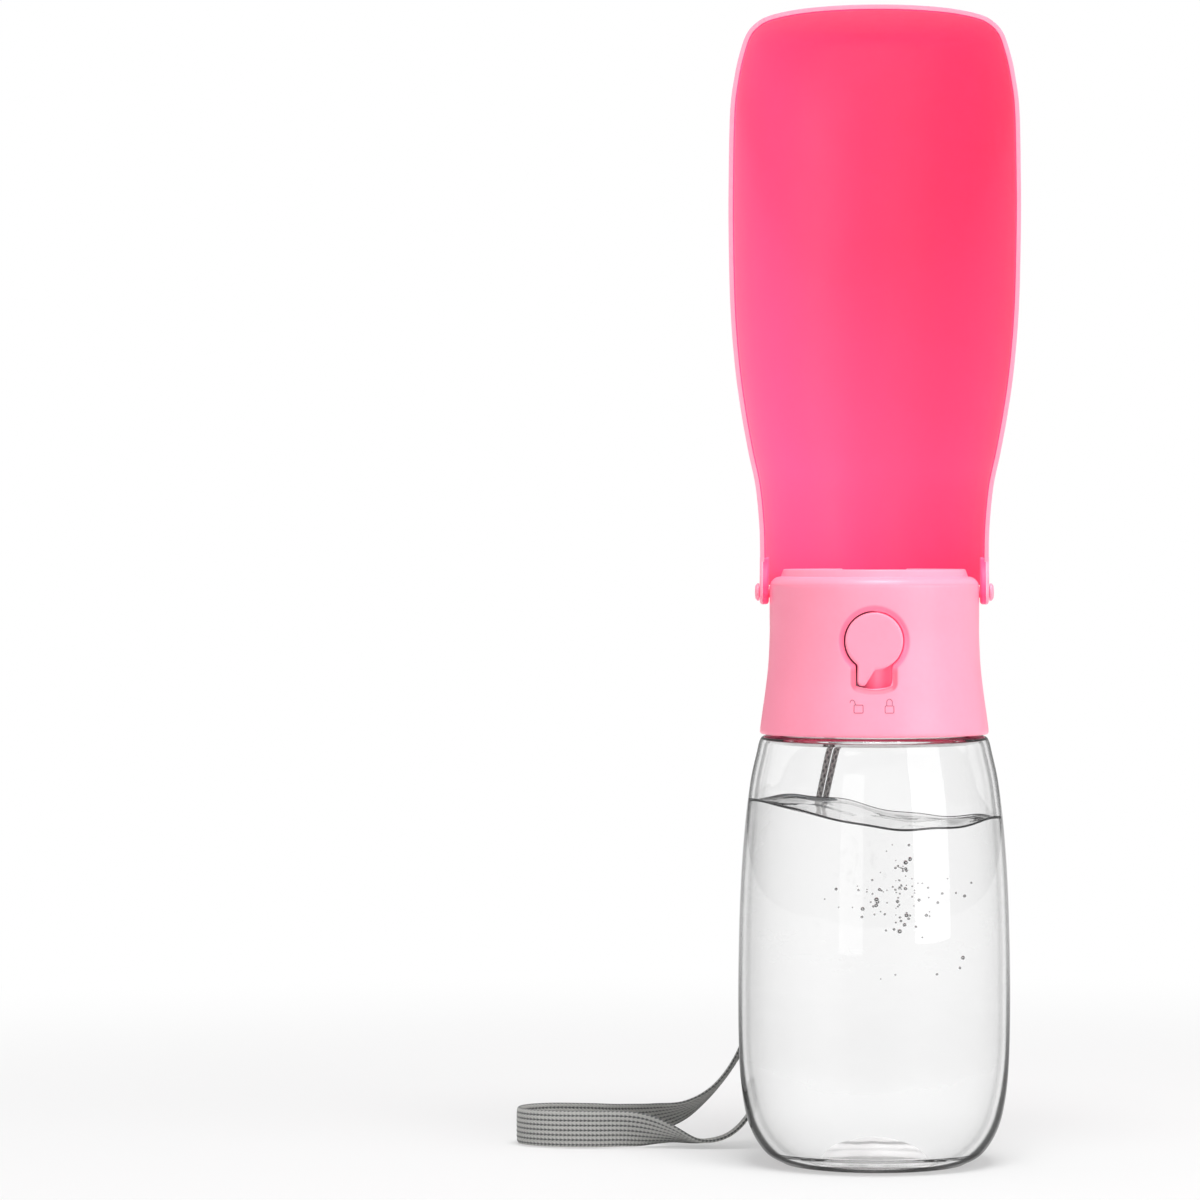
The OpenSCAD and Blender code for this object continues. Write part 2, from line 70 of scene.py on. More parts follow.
# ---- plan of the bottle -----------------------------------------------------------------
# In the plans a name that ends in _R is a radius, in _X, _Y or _Z a place, and in _T a
# thickness. Stations are (radius, height), and a Catmull-Rom spline goes through them.
BOTTLE_STATIONS = [(22, -1.6), (24.6, 0), (29.1, 2.6), (32.8, 8), (35, 15.2), (36.3, 27),
                   (36.65, 47), (36.2, 70), (35.1, 88), (33.5, 102), (31.7, 110.4),
                   (30.8, 113.9), (29.5, 115.1), (26, 115.4)]
SHOULDER_Z = 115.1
NECK_R = 25.5
NECK_TOP = 126.0
GATE_PAD_R = 11.0
GATE_PAD_Z = 0.25
PUNT_Z = 2.3
BASE_FLAT_R = 18.5
FLOOR_Z = 2.8
# The floor rises to a dome, whose foot, rib and crest show as rings of painted shade and glow.
FLOOR_RINGS = [(19.2, 2.8), (17.2, 3.7), (15.2, 4.4), (13.8, 5.5), (12.6, 6.5), (11.2, 7.3),
               (9.6, 8.2), (8.2, 9), (6.8, 9.5), (5, 9.9), (3.4, 10.3), (1.7, 10.5), (0, 10.6)]
FLOOR_FLAT_R = 21.0
FLOOR_EDGE_R = 25.2
FLOOR_BLEND = 1.4
# Heights of the dome's painted dark rings, and the height below which its painted shade and glow
# reach.
DOME_FOOT_Z = 6.4
DOME_RIB_Z = 8.2
DOME_CREST_Z = 9.55
DOME_CLEAR_Z = 12.0
BOTTLE_COLUMNS = 144
THREAD_LOW = 117.6
THREAD_PITCH = 4.0
THREAD_TURNS = 1.25
THREAD_DEPTH = 1.05

# ---- plan of the water ------------------------------------------------------------------
WATER_OVERLAP = 0.12
WATER_ROWS = 60
WATER_FIRST_GUESS = 94.0
WAVE_STEP_X = -8.5
WAVE_STEP_WIDTH = 6.0
RIGHT_RISE = 1.7
MENISCUS_RISE = 0.9
MENISCUS_REACH = 0.8
BUBBLE_TOP = 86.0
# A group of bubbles is its seed, its reach, its drift and its middle.
BUBBLE_CLOUD = (11, (15, 12, 20), (3.6, 5, 9), (5.2, -8, 74))
BUBBLE_CLUMPS = [(14, (31, (1.4, 1.0, 0.9), (1.1, 1.0, 0.8), (6.4, -9, 80))),
                 (7, (47, (0.9, 0.8, 0.7), (0.5, 0.6, 0.5), (7.3, -9, 67.5)))]

# ---- plan of the head -------------------------------------------------------------------
HEAD_STATIONS = [(30.9, 112.8), (30.8, 116.4), (30.3, 120.4), (29.4, 126.8), (28.6, 133.8),
                 (28.2, 141.8), (28.2, 148), (28.2, 156), (28.2, 160)]
HEAD_BOTTOM = 115.6
HEAD_TOP = 156.0
HEAD_R = 28.2
SHELL_IN_R = 26.6
FEMALE_R = 27.0
BUTTON_Z = 141.1
BUTTON_R = 7.65
BUTTON_Y = -28.0
BUTTON_T = 2.5
SPRING_WIRE = 0.3
SPRING_TURNS = 5.0
POINTER_TURN = math.radians(17)
HOLE_R = 7.95
NOTCH_HALF = 4.8
NOTCH_DROP = 12.65
WELL_FLOOR_Y = -22.7
WELL_FLOOR_T = 1.2
SLEEVE_R = 5.25
SKIRT_FRONT_Y = -21.6
SKIRT_BACK_Y = -16.6
LUG_Y = 31.2
LUG_LOW = 144.25
LUG_HIGH = 150.55
LUG_FOOT_Y = 29.6
BACK_BAR_Z = 153.4
COVER_TOP = 158.0
RING_TOP = 160.0
RING_R = 25.2
RING_CUT = 1.25
RING_CUT_TURN = math.radians(19)
RING_CUT_END = math.radians(21.5)
LID_DISH_R = 22.4
LID_DISH_Z = COVER_TOP - 0.7
LID_UNDER_Z = 156.2
LID_FOOT_Z = 153.4
SEAM_Z = HEAD_TOP + 0.04
SPOUT_Y = -9.5
SPOUT_R = 3.8
SPOUT_BORE = 2.6
SPOUT_LOW = 149.0

# ---- plan of the hinge and the trough ---------------------------------------------------
HINGE_Z = 153.8
PIN_R = 1.5
PIN_HEAD_R = 2.35
PIN_HEAD_X = 30.98
PIN_IN_X = 22.9
BOSS_IN_X = 22.6
BOSS_OUT_X = 27.2
BOSS_R = 2.15
EAR_IN_X = 28.42
EAR_OUT_X = 30.84
EAR_R = 3.35
EAR_FLAT_X = 29.95
LINING_FLAT_X = 30.0
RIM_WIDTH = 1.12
TROUGH_COLUMNS = 96
# Heights of the trough's stations are above the hinge axis.
TROUGH_STATIONS = [(30.8, -4), (30.8, 1.8), (30.8, 12), (31.1, 19.5), (32.1, 29),
                   (33.9, 37.5), (35.9, 48.5), (37.6, 61), (38.8, 76.5), (39.3, 96),
                   (39.3, 111), (38.9, 129.6), (37.7, 139.1), (36.3, 145.4), (34.3, 150.8),
                   (31, 154.1), (26.7, 155.8), (19.5, 157.15), (10, 157.95), (0, 158.2),
                   (-10, 157.95)]

# ---- plan of the strap ------------------------------------------------------------------
CORD_ROUTE = [(-16.6, 36.9, 92.5), (-15.4, 36.8, 99), (-13.4, 36.4, 108), (-11, 35.7, 118),
              (-8.4, 35, 127), (-5.8, 34.4, 136), (-3.8, 33.8, 142), (-2.6, 32.8, 145.6),
              (-2.1, 31.2, 147.1), (-2.1, 30.1, 147.5), (-1.8, 29.4, 147.8),
              (-1.1, 29.15, 147.9), (0, 29.15, 148), (1.1, 29.15, 148), (1.8, 29.4, 147.9),
              (2.1, 30.1, 147.8), (2.1, 31.2, 147.5), (2.3, 32.6, 146.8), (1.2, 34.2, 145),
              (-1.2, 35, 141.6), (-3.6, 36, 135.6), (-6.2, 36.8, 127), (-8.8, 37.5, 118),
              (-11.2, 38, 108.5), (-13.4, 38.3, 99), (-14.7, 38.4, 92.5)]
# The hitch is a slanted ellipse: its centre and its two half axes.
HITCH_CENTRE = (-2.3, 34.35, 142.9)
HITCH_ACROSS = (2.15, -0.5, 0.75)
HITCH_THROUGH = (0, 1.25, 0.5)
HITCH_THINNER = 0.86
CORD_SIDES = 20
CORD_STRANDS = 8
CORD_BRAID = 2.6
WEBBING_STITCH = 1.1
BLOCK_CENTRE = (-17.5, 37.7, 86.0)
BLOCK_TILT = math.radians(10.6)
BLOCK_TURN = math.radians(24)
BLOCK_SIZE = (11.4, 5.6, 16.0)
# Each row is a point and the direction of the webbing's width.
WEBBING_ROUTE = [(-18.5, 37, 79.2, -0.9, -0.41, 0.17),
                 (-20.5, 36.1, 69.5, -0.81, -0.59, 0), (-22.6, 34.7, 57, -0.68, -0.73, 0),
                 (-24.7, 33.2, 44.5, -0.5, -0.87, 0), (-27.2, 31.6, 32, -0.3, -0.95, 0),
                 (-30.2, 30.4, 20, -0.1, -0.99, 0), (-34, 29.8, 10, 0, -1, 0),
                 (-40, 29.6, 3.6, 0, -1, 0.05), (-48, 29.2, 1.8, 0, -0.99, 0.15),
                 (-57, 28.2, 3.9, 0, -0.78, 0.63), (-67, 26, 5.3, 0, -0.2, 0.98),
                 (-78, 24.6, 5.4, 0, 0, 1), (-88, 25.2, 5.4, 0, 0, 1),
                 (-95.5, 28.6, 5.4, 0, 0, 1), (-98.6, 34.6, 5.4, 0, 0, 1),
                 (-96.5, 40.8, 5.4, 0, 0, 1), (-90, 44.4, 5.4, 0, 0, 1),
                 (-80, 44.6, 5.4, 0, -0.05, 1), (-70, 41.6, 5.8, 0, -0.25, 0.97),
                 (-60, 37.2, 7.6, 0, -0.6, 0.8), (-51, 33.8, 11, 0, -0.88, 0.47),
                 (-43.4, 32.6, 17, 0, -0.98, 0.2), (-37.4, 33, 25.6, -0.1, -0.99, 0.05),
                 (-32.6, 34.4, 36.6, -0.32, -0.95, 0), (-28.8, 36, 48.6, -0.5, -0.86, 0),
                 (-25.3, 37.7, 60.6, -0.66, -0.75, 0),
                 (-21.6, 38.7, 71.5, -0.79, -0.61, 0),
                 (-19.1, 38.4, 79.3, -0.9, -0.41, 0.17)]


# ---- sizes and colours that a user would change -----------------------------------------
def length_property(name, description, millimetres):
    """A length in metres, given in millimetres."""
    return bpy.props.FloatProperty(name=name, description=description,
                                   default=millimetres * MM, min=0, unit="LENGTH")


def colour_property(name, description, colour):
    """A linear colour."""
    return bpy.props.FloatVectorProperty(name=name, description=description, default=colour,
                                         size=3, min=0, max=1, subtype="COLOR")


class BottleSizes(bpy.types.PropertyGroup):
    """Sizes that can change without a change to the frame."""

    bottle_wall: length_property("Bottle wall", "Thickness of the clear wall", 1.5)
    trough_wall: length_property("Trough wall", "Thickness of the trough's wall", 1.5)
    water_height: length_property("Water height", "Height of the calm water at its low side", 91)
    wave_height: length_property("Wave height", "How much higher the water stands on the left", 6.2)
    bubble_radius: length_property("Bubble radius", "Radius of the largest bubbles", 0.62)
    bubble_count: bpy.props.IntProperty(
        name="Bubbles", description="Number of bubbles in the water", default=90, min=0)
    cord_thickness: length_property("Cord thickness", "Thickness of the strap's cord", 1.8)
    webbing_width: length_property("Webbing width", "Width of the wrist loop", 10)
    webbing_thickness: length_property("Webbing thickness", "Thickness of the wrist loop", 1.2)
    webbing_ribs: bpy.props.IntProperty(
        name="Webbing ribs", description="Lengthwise ribs in the webbing", default=7, min=1)
    icon_line: length_property("Icon line", "Width of the padlock icons' raised lines", 0.26)


class BottleColours(bpy.types.PropertyGroup):
    """Colours of the finishes."""

    light_pink: colour_property("Light pink", "Head, button and outside of the trough",
                                (1.0, 0.42, 0.55))
    # The colour of the painted shade in the dish round the button's hole.
    well_shade_pink: colour_property("Well pink", "Deeper tone in and round the button's well",
                               (1.0, 0.25, 0.4))
    deep_pink: colour_property("Deep pink", "Inside of the trough and the plug",
                               (1.0, 0.066, 0.27))
    clear_plastic: colour_property("Clear plastic", "Tint of the bottle", (0.992, 0.992, 0.992))
    water: colour_property("Water", "Tint of the water", (0.995, 0.995, 0.995))
    valve_plastic: colour_property("Valve plastic", "Hidden valve pieces", (0.86, 0.83, 0.83))
    silicone: colour_property("Silicone", "Seals and valves", (0.82, 0.82, 0.82))
    spring_steel: colour_property("Spring steel", "The button's spring", (0.62, 0.62, 0.64))
    yarn_light: colour_property("Light yarn", "Light yarn of the cord and webbing",
                                (0.52, 0.52, 0.5))
    yarn_dark: colour_property("Dark yarn", "Dark yarn and the gaps between yarns",
                               (0.115, 0.12, 0.12))
    block_slate: colour_property("Block", "The strap's block", (0.1, 0.15, 0.175))


# ---- numbers and curves -----------------------------------------------------------------
def mix(a, b, t):
    """The value between a and b at t."""
    return a + (b - a) * t


def smooth_step(low, high, value):
    """0 below low, 1 above high, and an S between."""
    t = min(1.0, max(0.0, (value - low) / (high - low)))
    return t * t * (3 - 2 * t)


def spline(points, steps):
    """Points on a Catmull-Rom curve from the second point to the last but one."""
    found = []
    for a, b, c, d in zip(points, points[1:], points[2:], points[3:]):
        for k in range(steps):
            t = k / steps
            found.append(tuple(
                0.5 * (2 * q + (r - p) * t + (2 * p - 5 * q + 4 * r - s) * t * t
                       + (3 * q - 3 * r + s - p) * t * t * t)
                for p, q, r, s in zip(a, b, c, d)))
    found.append(tuple(points[-2]))
    return found


def through(points, steps):
    """The same curve from the first point to the last."""
    before = tuple(2 * p - q for p, q in zip(points[0], points[1]))
    after = tuple(2 * p - q for p, q in zip(points[-1], points[-2]))
    return spline([before, *points, after], steps)


def inset(points, wall):
    """A (radius, height) curve moved towards the axis by a wall's thickness."""
    moved = []
    last = len(points) - 1
    for i, (r, z) in enumerate(points):
        r0, z0 = points[max(0, i - 1)]
        r1, z1 = points[min(last, i + 1)]
        run = math.hypot(r1 - r0, z1 - z0)
        moved.append((max(0.0, r - wall * (z1 - z0) / run), z + wall * (r1 - r0) / run))
    return moved


def rounded(corners, steps=5):
    """An outline of (x, y, fillet) corners with each corner rounded by its fillet."""
    outline = []
    count = len(corners)
    for i, (x, y, fillet) in enumerate(corners):
        here = Vector((x, y))
        if fillet <= 0 or i in (0, count - 1):
            outline.append((x, y))
            continue
        to_last = Vector(corners[i - 1][:2]) - here
        to_next = Vector(corners[i + 1][:2]) - here
        half = to_last.angle(to_next, math.pi) / 2
        if half > math.radians(88):
            outline.append((x, y))
            continue
        reach = min(fillet / math.tan(half), to_last.length * 0.48, to_next.length * 0.48)
        start = here + to_last.normalized() * reach
        end = here + to_next.normalized() * reach
        for k in range(steps + 1):
            t = k / steps
            point = start * (1 - t) ** 2 + here * 2 * t * (1 - t) + end * t * t
            outline.append((point.x, point.y))
    return outline


def value_at(table, z):
    """The radius of a (radius, height) curve at a height."""
    for (r0, z0), (r1, z1) in zip(table, table[1:]):
        if z0 <= z <= z1:
            return mix(r0, r1, (z - z0) / (z1 - z0) if z1 > z0 else 0)
    return table[0][0] if z < table[0][1] else table[-1][0]


def turn_angles(count):
    """Evenly spaced angles of a full turn."""
    return [FULL_TURN * i / count for i in range(count)]


def steps_between(first, last, count):
    """count + 1 evenly spaced numbers from first to last."""
    return [mix(first, last, k / count) for k in range(count + 1)]


def about_axis(r, a, z):
    """The point at a radius, a height and an angle from the front."""
    return (r * math.sin(a), -r * math.cos(a), z)


def heading(line, i):
    """The direction of a line at its point i."""
    after = line[min(i + 1, len(line) - 1)]
    return (Vector(after) - Vector(line[max(i - 1, 0)])).normalized()


def travelled_along(line):
    """The length of a line up to each of its points."""
    travelled = [0.0]
    for p, q in zip(line, line[1:]):
        travelled.append(travelled[-1] + math.dist(p, q))
    return travelled


# ---- meshes -----------------------------------------------------------------------------
class Skin:
    """A mesh made of rings of points, in millimetres, joined by quads."""

    def __init__(self):
        self.points = []
        self.faces = []
        self.corners = []
        self.places = []

    def ring(self, points, along=0.0):
        """Adds a ring and returns its indices. along is its second pattern coordinate."""
        first = len(self.points)
        count = max(1, len(points))
        self.points.extend(tuple(p) for p in points)
        self.places.extend((i / count, along) for i in range(len(points)))
        return list(range(first, len(self.points)))

    def face(self, indices, wrapped=()):
        """Adds a face. wrapped are the corners past the seam of a closed ring."""
        self.faces.append(tuple(indices))
        self.corners.append([(self.places[i][0] + (1.0 if k in wrapped else 0.0),
                              self.places[i][1]) for k, i in enumerate(indices)])

    def join(self, a, b, first=0):
        """Joins two rings of equal count, from their point first to their end."""
        count = len(a)
        for i in range(first, count):
            k = (i + 1) % count
            self.face((a[i], a[k], b[k], b[i]), (1, 2) if k == 0 else ())

    def loft(self, rings, loop=False):
        """Joins each ring to the next, and the last to the first for a loop."""
        made = [r if isinstance(r[0], int) else self.ring(r) for r in rings]
        for a, b in zip(made, made[1:]):
            self.join(a, b)
        if loop:
            self.join(made[-1], made[0])
        return made

    def cap(self, ring, centre=None):
        """Closes a ring with a fan."""
        if centre is None:
            middle = sum((Vector(self.points[i]) for i in ring), Vector()) / len(ring)
        else:
            middle = Vector(centre)
        hub = self.ring([middle], self.places[ring[0]][1])[0]
        for i, a in enumerate(ring):
            self.face((a, ring[(i + 1) % len(ring)], hub))

    def tube(self, line, section):
        """Sweeps a section, a function of a point's index that gives its ring, along a line."""
        rings = [self.ring(section(i), travelled)
                 for i, travelled in enumerate(travelled_along(line))]
        for a, b in zip(rings, rings[1:]):
            self.join(a, b)
        self.cap(rings[0])
        self.cap(rings[-1])

    def show(self, name, sharp, finish, body, slot, replaced=()):
        """Makes the skin a piece of the object, with sharp edges over that many degrees."""
        return show(name, self.mesh(name, sharp), finish, body, replaced)

    def mesh(self, name, sharp):
        """The finished mesh, closed, outward and shaded smooth except over sharp edges."""
        mesh = bpy.data.meshes.new(name)
        mesh.from_pydata([Vector(p) * MM for p in self.points], [], self.faces)
        layer = mesh.uv_layers.new(name="Along")
        spot = 0
        for corner in self.corners:
            for place in corner:
                layer.data[spot].uv = place
                spot += 1
        tidy_mesh(mesh, sharp)
        return mesh


def tidy_mesh(mesh, sharp):
    """Merges doubles, turns the faces outward and marks the sharp edges."""
    shape = bmesh.new()
    shape.from_mesh(mesh)
    bmesh.ops.remove_doubles(shape, verts=shape.verts, dist=1e-6)
    bmesh.ops.dissolve_degenerate(shape, edges=shape.edges, dist=1e-7)
    bmesh.ops.recalc_face_normals(shape, faces=shape.faces)
    shape.to_mesh(mesh)
    shape.free()
    mesh.shade_smooth()
    mesh.set_sharp_from_angle(angle=math.radians(sharp))


def lathe(skin, profile, columns, spin=about_axis):
    """Adds a turned solid to skin. profile is a closed or pole-to-pole (radius, height) line.
    spin places a point of the turned solid from its radius, angle and height."""
    rings = []
    for r, z in profile:
        rings.append(None if r < 1e-6 else skin.ring([spin(r, a, z) for a in turn_angles(columns)]))
    pairs = list(zip(range(len(rings)), range(1, len(rings))))
    if rings[0] is not None:
        pairs.append((len(rings) - 1, 0))
    for i, k in pairs:
        a, b = rings[i], rings[k]
        if a is not None and b is not None:
            skin.join(a, b)
        elif a is not None:
            skin.cap(a, spin(0, 0, profile[k][1]))
        elif b is not None:
            skin.cap(b, spin(0, 0, profile[i][1]))


def turned(profile, columns, spin=about_axis):
    """A skin that holds one turned solid."""
    skin = Skin()
    lathe(skin, profile, columns, spin)
    return skin


def about_button(r, a, y):
    """A point of a solid that is turned about the button's axis."""
    return (r * math.sin(a), y, BUTTON_Z + r * math.cos(a))


def about_hinge(side):
    """A function that places a point of a solid turned about the hinge, on one side."""
    return lambda r, a, x: (side * x, r * math.sin(a), HINGE_Z + r * math.cos(a))


def about_spout(r, a, z):
    """A point of a solid that is turned about the nozzle's axis."""
    return (r * math.sin(a), SPOUT_Y - r * math.cos(a), z)


def new_object(name, data):
    """An object that is in the scene."""
    made = bpy.data.objects.new(name, data)
    bpy.context.collection.objects.link(made)
    return made


def show(name, mesh, finish, body, replaced=()):
    """Makes a mesh a piece of the object that rides on a body and stands for CAD nodes."""
    piece = new_object(name, mesh)
    if not mesh.materials:
        mesh.materials.append(finishes.get(finish))
    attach(piece, body)
    if replaced:
        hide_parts(*replaced)
    return piece


def bevelled(mesh, width, segments):
    """The mesh with its edges of over 50 degrees rounded."""
    holder = new_object("holder", mesh)
    bevel = holder.modifiers.new("Bevel", "BEVEL")
    bevel.width = width * MM
    bevel.segments = segments
    bevel.limit_method = "ANGLE"
    bevel.angle_limit = math.radians(50)
    bevel.harden_normals = False
    return plain_mesh(holder)


def plain_mesh(holder):
    """The evaluated mesh of an object that is then removed."""
    graph = bpy.context.evaluated_depsgraph_get()
    made = bpy.data.meshes.new_from_object(holder.evaluated_get(graph),
                                           preserve_all_data_layers=True, depsgraph=graph)
    made.name = holder.name
    bpy.data.objects.remove(holder)
    return made


# ---- node trees -------------------------------------------------------------------------
class Value:
    """A number in a shader tree that can be used in Python sums."""

    def __init__(self, graph, socket):
        self.graph = graph
        self.socket = socket

    def sum_with(self, operation, first, second):
        """A Math node on two numbers."""
        made = self.graph.node("ShaderNodeMath", {"operation": operation},
                               {0: first, 1: second})
        return Value(self.graph, made.outputs[0])

    def __add__(self, other):
        return self.sum_with("ADD", self, other)

    def __sub__(self, other):
        return self.sum_with("SUBTRACT", self, other)

    def __rsub__(self, other):
        return self.sum_with("SUBTRACT", other, self)

    def __mul__(self, other):
        return self.sum_with("MULTIPLY", self, other)

    def __truediv__(self, other):
        return self.sum_with("DIVIDE", self, other)

    def __pow__(self, other):
        return self.sum_with("POWER", self, other)

    __radd__ = __add__
    __rmul__ = __mul__

    def wave(self):
        """The sine of the number."""
        return self.sum_with("SINE", self, 0.0)

    def size(self):
        """The number without its sign."""
        return self.sum_with("ABSOLUTE", self, 0.0)

    def fraction(self):
        """The part after the decimal point."""
        return self.sum_with("FRACT", self, 0.0)

    def least(self, other):
        """The smaller of two numbers."""
        return self.sum_with("MINIMUM", self, other)

    def most(self, other):
        """The larger of two numbers."""
        return self.sum_with("MAXIMUM", self, other)

    def between(self, low, high):
        """0 below low, 1 above high, and an S between."""
        made = self.graph.node("ShaderNodeMapRange", {"interpolation_type": "SMOOTHSTEP"},
                               {"Value": self, "From Min": low, "From Max": high})
        return Value(self.graph, made.outputs["Result"])


class Graph:
    """Makes and links the nodes of one tree."""

    def __init__(self, tree):
        self.tree = tree

    def feed(self, socket, value):
        """Links a value or a socket to an input, or sets the input to a plain value."""
        if isinstance(value, Value):
            value = value.socket
        if isinstance(value, bpy.types.NodeSocket):
            self.tree.links.new(value, socket)
        else:
            socket.default_value = value

    def node(self, kind, settings=None, inputs=None):
        """Makes a node, sets it, and then feeds its inputs, named or numbered."""
        made = self.tree.nodes.new(kind)
        for key, value in (settings or {}).items():
            if key == "stops":
                self.set_stops(made.color_ramp, value)
            else:
                setattr(made, key, value)
        for key, value in (inputs or {}).items():
            self.feed(made.inputs[key], value)
        return made

    def vector(self, operation, first, second):
        """A Vector Math node on two vectors."""
        made = self.node("ShaderNodeVectorMath", {"operation": operation},
                         {0: first, 1: second})
        return made.outputs[0]

    def part(self, vector, name):
        """One number of a vector."""
        return Value(self, self.node("ShaderNodeSeparateXYZ", None, {0: vector}).outputs[name])

    def rays(self, *kinds):
        """1 for rays of each kind, such as Camera, and 0 for the others."""
        path = self.node("ShaderNodeLightPath")
        return [Value(self, path.outputs[f"Is {kind} Ray"]) for kind in kinds]

    @staticmethod
    def set_stops(ramp, stops):
        """Sets a ramp's (position, colour) stops."""
        while len(ramp.elements) < len(stops):
            ramp.elements.new(1.0)
        for element, (position, colour) in zip(ramp.elements, stops):
            element.position = position
            element.color = colour


class Finish(Graph):
    """A material with one Principled shader, which a dull one can cover in part."""

    def __init__(self, name, colour, roughness, settings=None):
        self.material = bpy.data.materials.new(name)
        self.material.use_nodes = True
        super().__init__(self.material.node_tree)
        self.tree.nodes.clear()
        self.shader = self.node("ShaderNodeBsdfPrincipled", None,
                                {"Base Color": (*colour, 1.0), "Roughness": roughness,
                                 **(settings or {})})
        self.output = self.node("ShaderNodeOutputMaterial", None,
                                {"Surface": self.shader.outputs["BSDF"]})
        self.colour = colour
        places = self.node("ShaderNodeTexCoord")
        self.place = places.outputs["Object"]
        self.uv = places.outputs["UV"]

    @property
    def facing(self):
        """0 where the surface is seen face on and 1 where it is seen edge on."""
        weight = self.node("ShaderNodeLayerWeight", None, {"Blend": 0.5})
        return Value(self, weight.outputs["Facing"])

    def cover_with(self, amount, colour):
        """Mixes a dull shader over the surface, of that colour and glowing in it."""
        dull = self.node("ShaderNodeBsdfPrincipled", None,
                         {"Base Color": colour, "Roughness": 0.6,
                          "Specular IOR Level": 0.0, "Emission Color": colour,
                          "Emission Strength": 1.0})
        mixed = self.node("ShaderNodeMixShader", None,
                          {0: amount, 1: self.shader.outputs["BSDF"],
                           2: dull.outputs["BSDF"]})
        self.feed(self.output.inputs["Surface"], mixed.outputs[0])

    def edge_tint(self, stops, lean=0.0):
        """The painted shade of a clear surface, as a colour by (facing, grey) stops: 0 is face on
        and 1 is edge on.
        lean makes the edges wider where it is larger."""
        ramp = self.node("ShaderNodeValToRGB",
                         {"stops": [(at, (*[grey * c for c in self.colour], 1.0))
                                    for at, grey in stops]}, {"Fac": self.facing + lean})
        return ramp.outputs["Color"]

    def noise(self, grain, detail=3.0, stretch=None):
        """Soft noise whose grain is in millimetres, stretched by stretch if it is given."""
        place = self.place
        if stretch:
            place = self.node("ShaderNodeMapping", None,
                              {"Vector": place, "Scale": stretch}).outputs[0]
        made = self.node("ShaderNodeTexNoise", None,
                         {"Vector": place, "Scale": 1 / (grain * MM), "Detail": detail})
        return Value(self, made.outputs["Fac"])

    def coordinates(self):
        """The three numbers of the place on the object, in millimetres."""
        return [self.part(self.place, name) / MM for name in "XYZ"]

    def blend(self, amount, first, second):
        """A colour between two colours."""
        made = self.node("ShaderNodeMix", {"data_type": "RGBA"},
                         {0: amount, 6: first, 7: second})
        return made.outputs[2]

    def paint(self, colour):
        """Sets the shader's colour."""
        self.feed(self.shader.inputs["Base Color"], colour)

    def polish(self, roughness):
        """Sets the shader's roughness."""
        self.feed(self.shader.inputs["Roughness"], roughness)

    def bump(self, height, depth):
        """Raises the surface by height times depth, which is in millimetres."""
        previous = self.shader.inputs["Normal"]
        inputs = {"Height": height, "Distance": depth * MM, "Strength": 1.0}
        if previous.is_linked:
            inputs["Normal"] = previous.links[0].from_socket
        made = self.node("ShaderNodeBump", None, inputs)
        self.feed(previous, made.outputs[0])


def shade_of(colour, factor=1.0):
    """A colour times a factor, with full opacity."""
    return (*[min(1.0, c * factor) for c in colour], 1.0)


def moulded(name, colour, roughness, grain=0.35, depth=0.006, settings=None):
    """Moulded plastic: a slightly cloudy colour, uneven gloss and a fine grain."""
    finish = Finish(name, colour, roughness, settings)
    cloud = finish.noise(14, 2.0)
    flow = finish.noise(5, 3.0, stretch=(1.0, 1.0, 0.3))
    mottle = finish.noise(1.6, 4.0)
    tint = (cloud * 0.6 + mottle * 0.4).between(0.25, 0.75)
    finish.paint(finish.blend(tint, shade_of(colour, 0.955), shade_of(colour, 1.02)))
    finish.polish((mottle - 0.5) * 0.12 + (flow - 0.5) * 0.14 + roughness)
    finish.bump(finish.noise(grain, 2.0), depth)
    finish.bump(finish.noise(grain * 12, 2.0), depth * 2.5)
    return finish


# The pinks get a painted red glow, a little red light that keeps them saturated in shade.
DEEP_GLOW = {"Emission Color": (1.0, 0.0, 0.03, 1.0), "Emission Strength": 0.2}
SOFT_GLOW = {"Emission Color": (1.0, 0.0, 0.12, 1.0), "Emission Strength": 0.27}
BLACK = (0.0, 0.0, 0.0, 1.0)
# Painted light and shade round the button: a shadow in the gap beside it, and bounce light, a
# highlight and a red glow in its hole and notch.
GAP_SHADOW_TONE = (0.1, 0.03, 0.045, 1.0)
NOTCH_BOUNCE_TONE = (1.0, 0.36, 0.5, 1.0)
NOTCH_HIGHLIGHT_TONE = (1.0, 0.66, 0.8, 1.0)
NOTCH_GLOW = (1.0, 0.1, 0.25, 1.0)
# Painted shade and glow of the bottle: the floor dome's dark and pale rings, which glow in their
# colour, and the wall's dark outline.
DOME_DARK = (0.4, 0.4, 0.4, 1.0)
DOME_PALE = (0.92, 0.92, 0.92, 1.0)
OUTLINE_TONE = (0.02, 0.02, 0.02, 1.0)
CLEAR_TONE = (0.98, 0.98, 0.98, 1.0)
CLEAR_WATER = (0.96, 0.96, 0.96, 1.0)
# Painted shade and bright bands of the clear pieces: how grey a clear piece is, by how far its
# surface turns from face on, 0, to edge on, 1.
WALL_GREYS = [(0.0, 1.0), (0.36, 0.99), (0.5, 0.93), (0.57, 0.84), (0.62, 0.56), (0.66, 0.66),
              (0.7, 1.0), (0.74, 0.85), (0.78, 0.3), (0.84, 0.1), (0.9, 0.05), (1.0, 0.05)]
WATER_GREYS = [(0.0, 0.94), (0.02, 0.97), (0.08, 0.93), (0.13, 0.86), (0.17, 0.78),
               (0.2, 0.68), (0.24, 0.62), (0.27, 0.62), (0.3, 0.78), (0.6, 0.84), (1.0, 0.75)]
BUBBLE_GREYS = [(0.0, 0.9), (0.04, 0.6), (0.1, 0.12), (0.3, 0.04), (0.8, 0.1), (1.0, 0.4)]


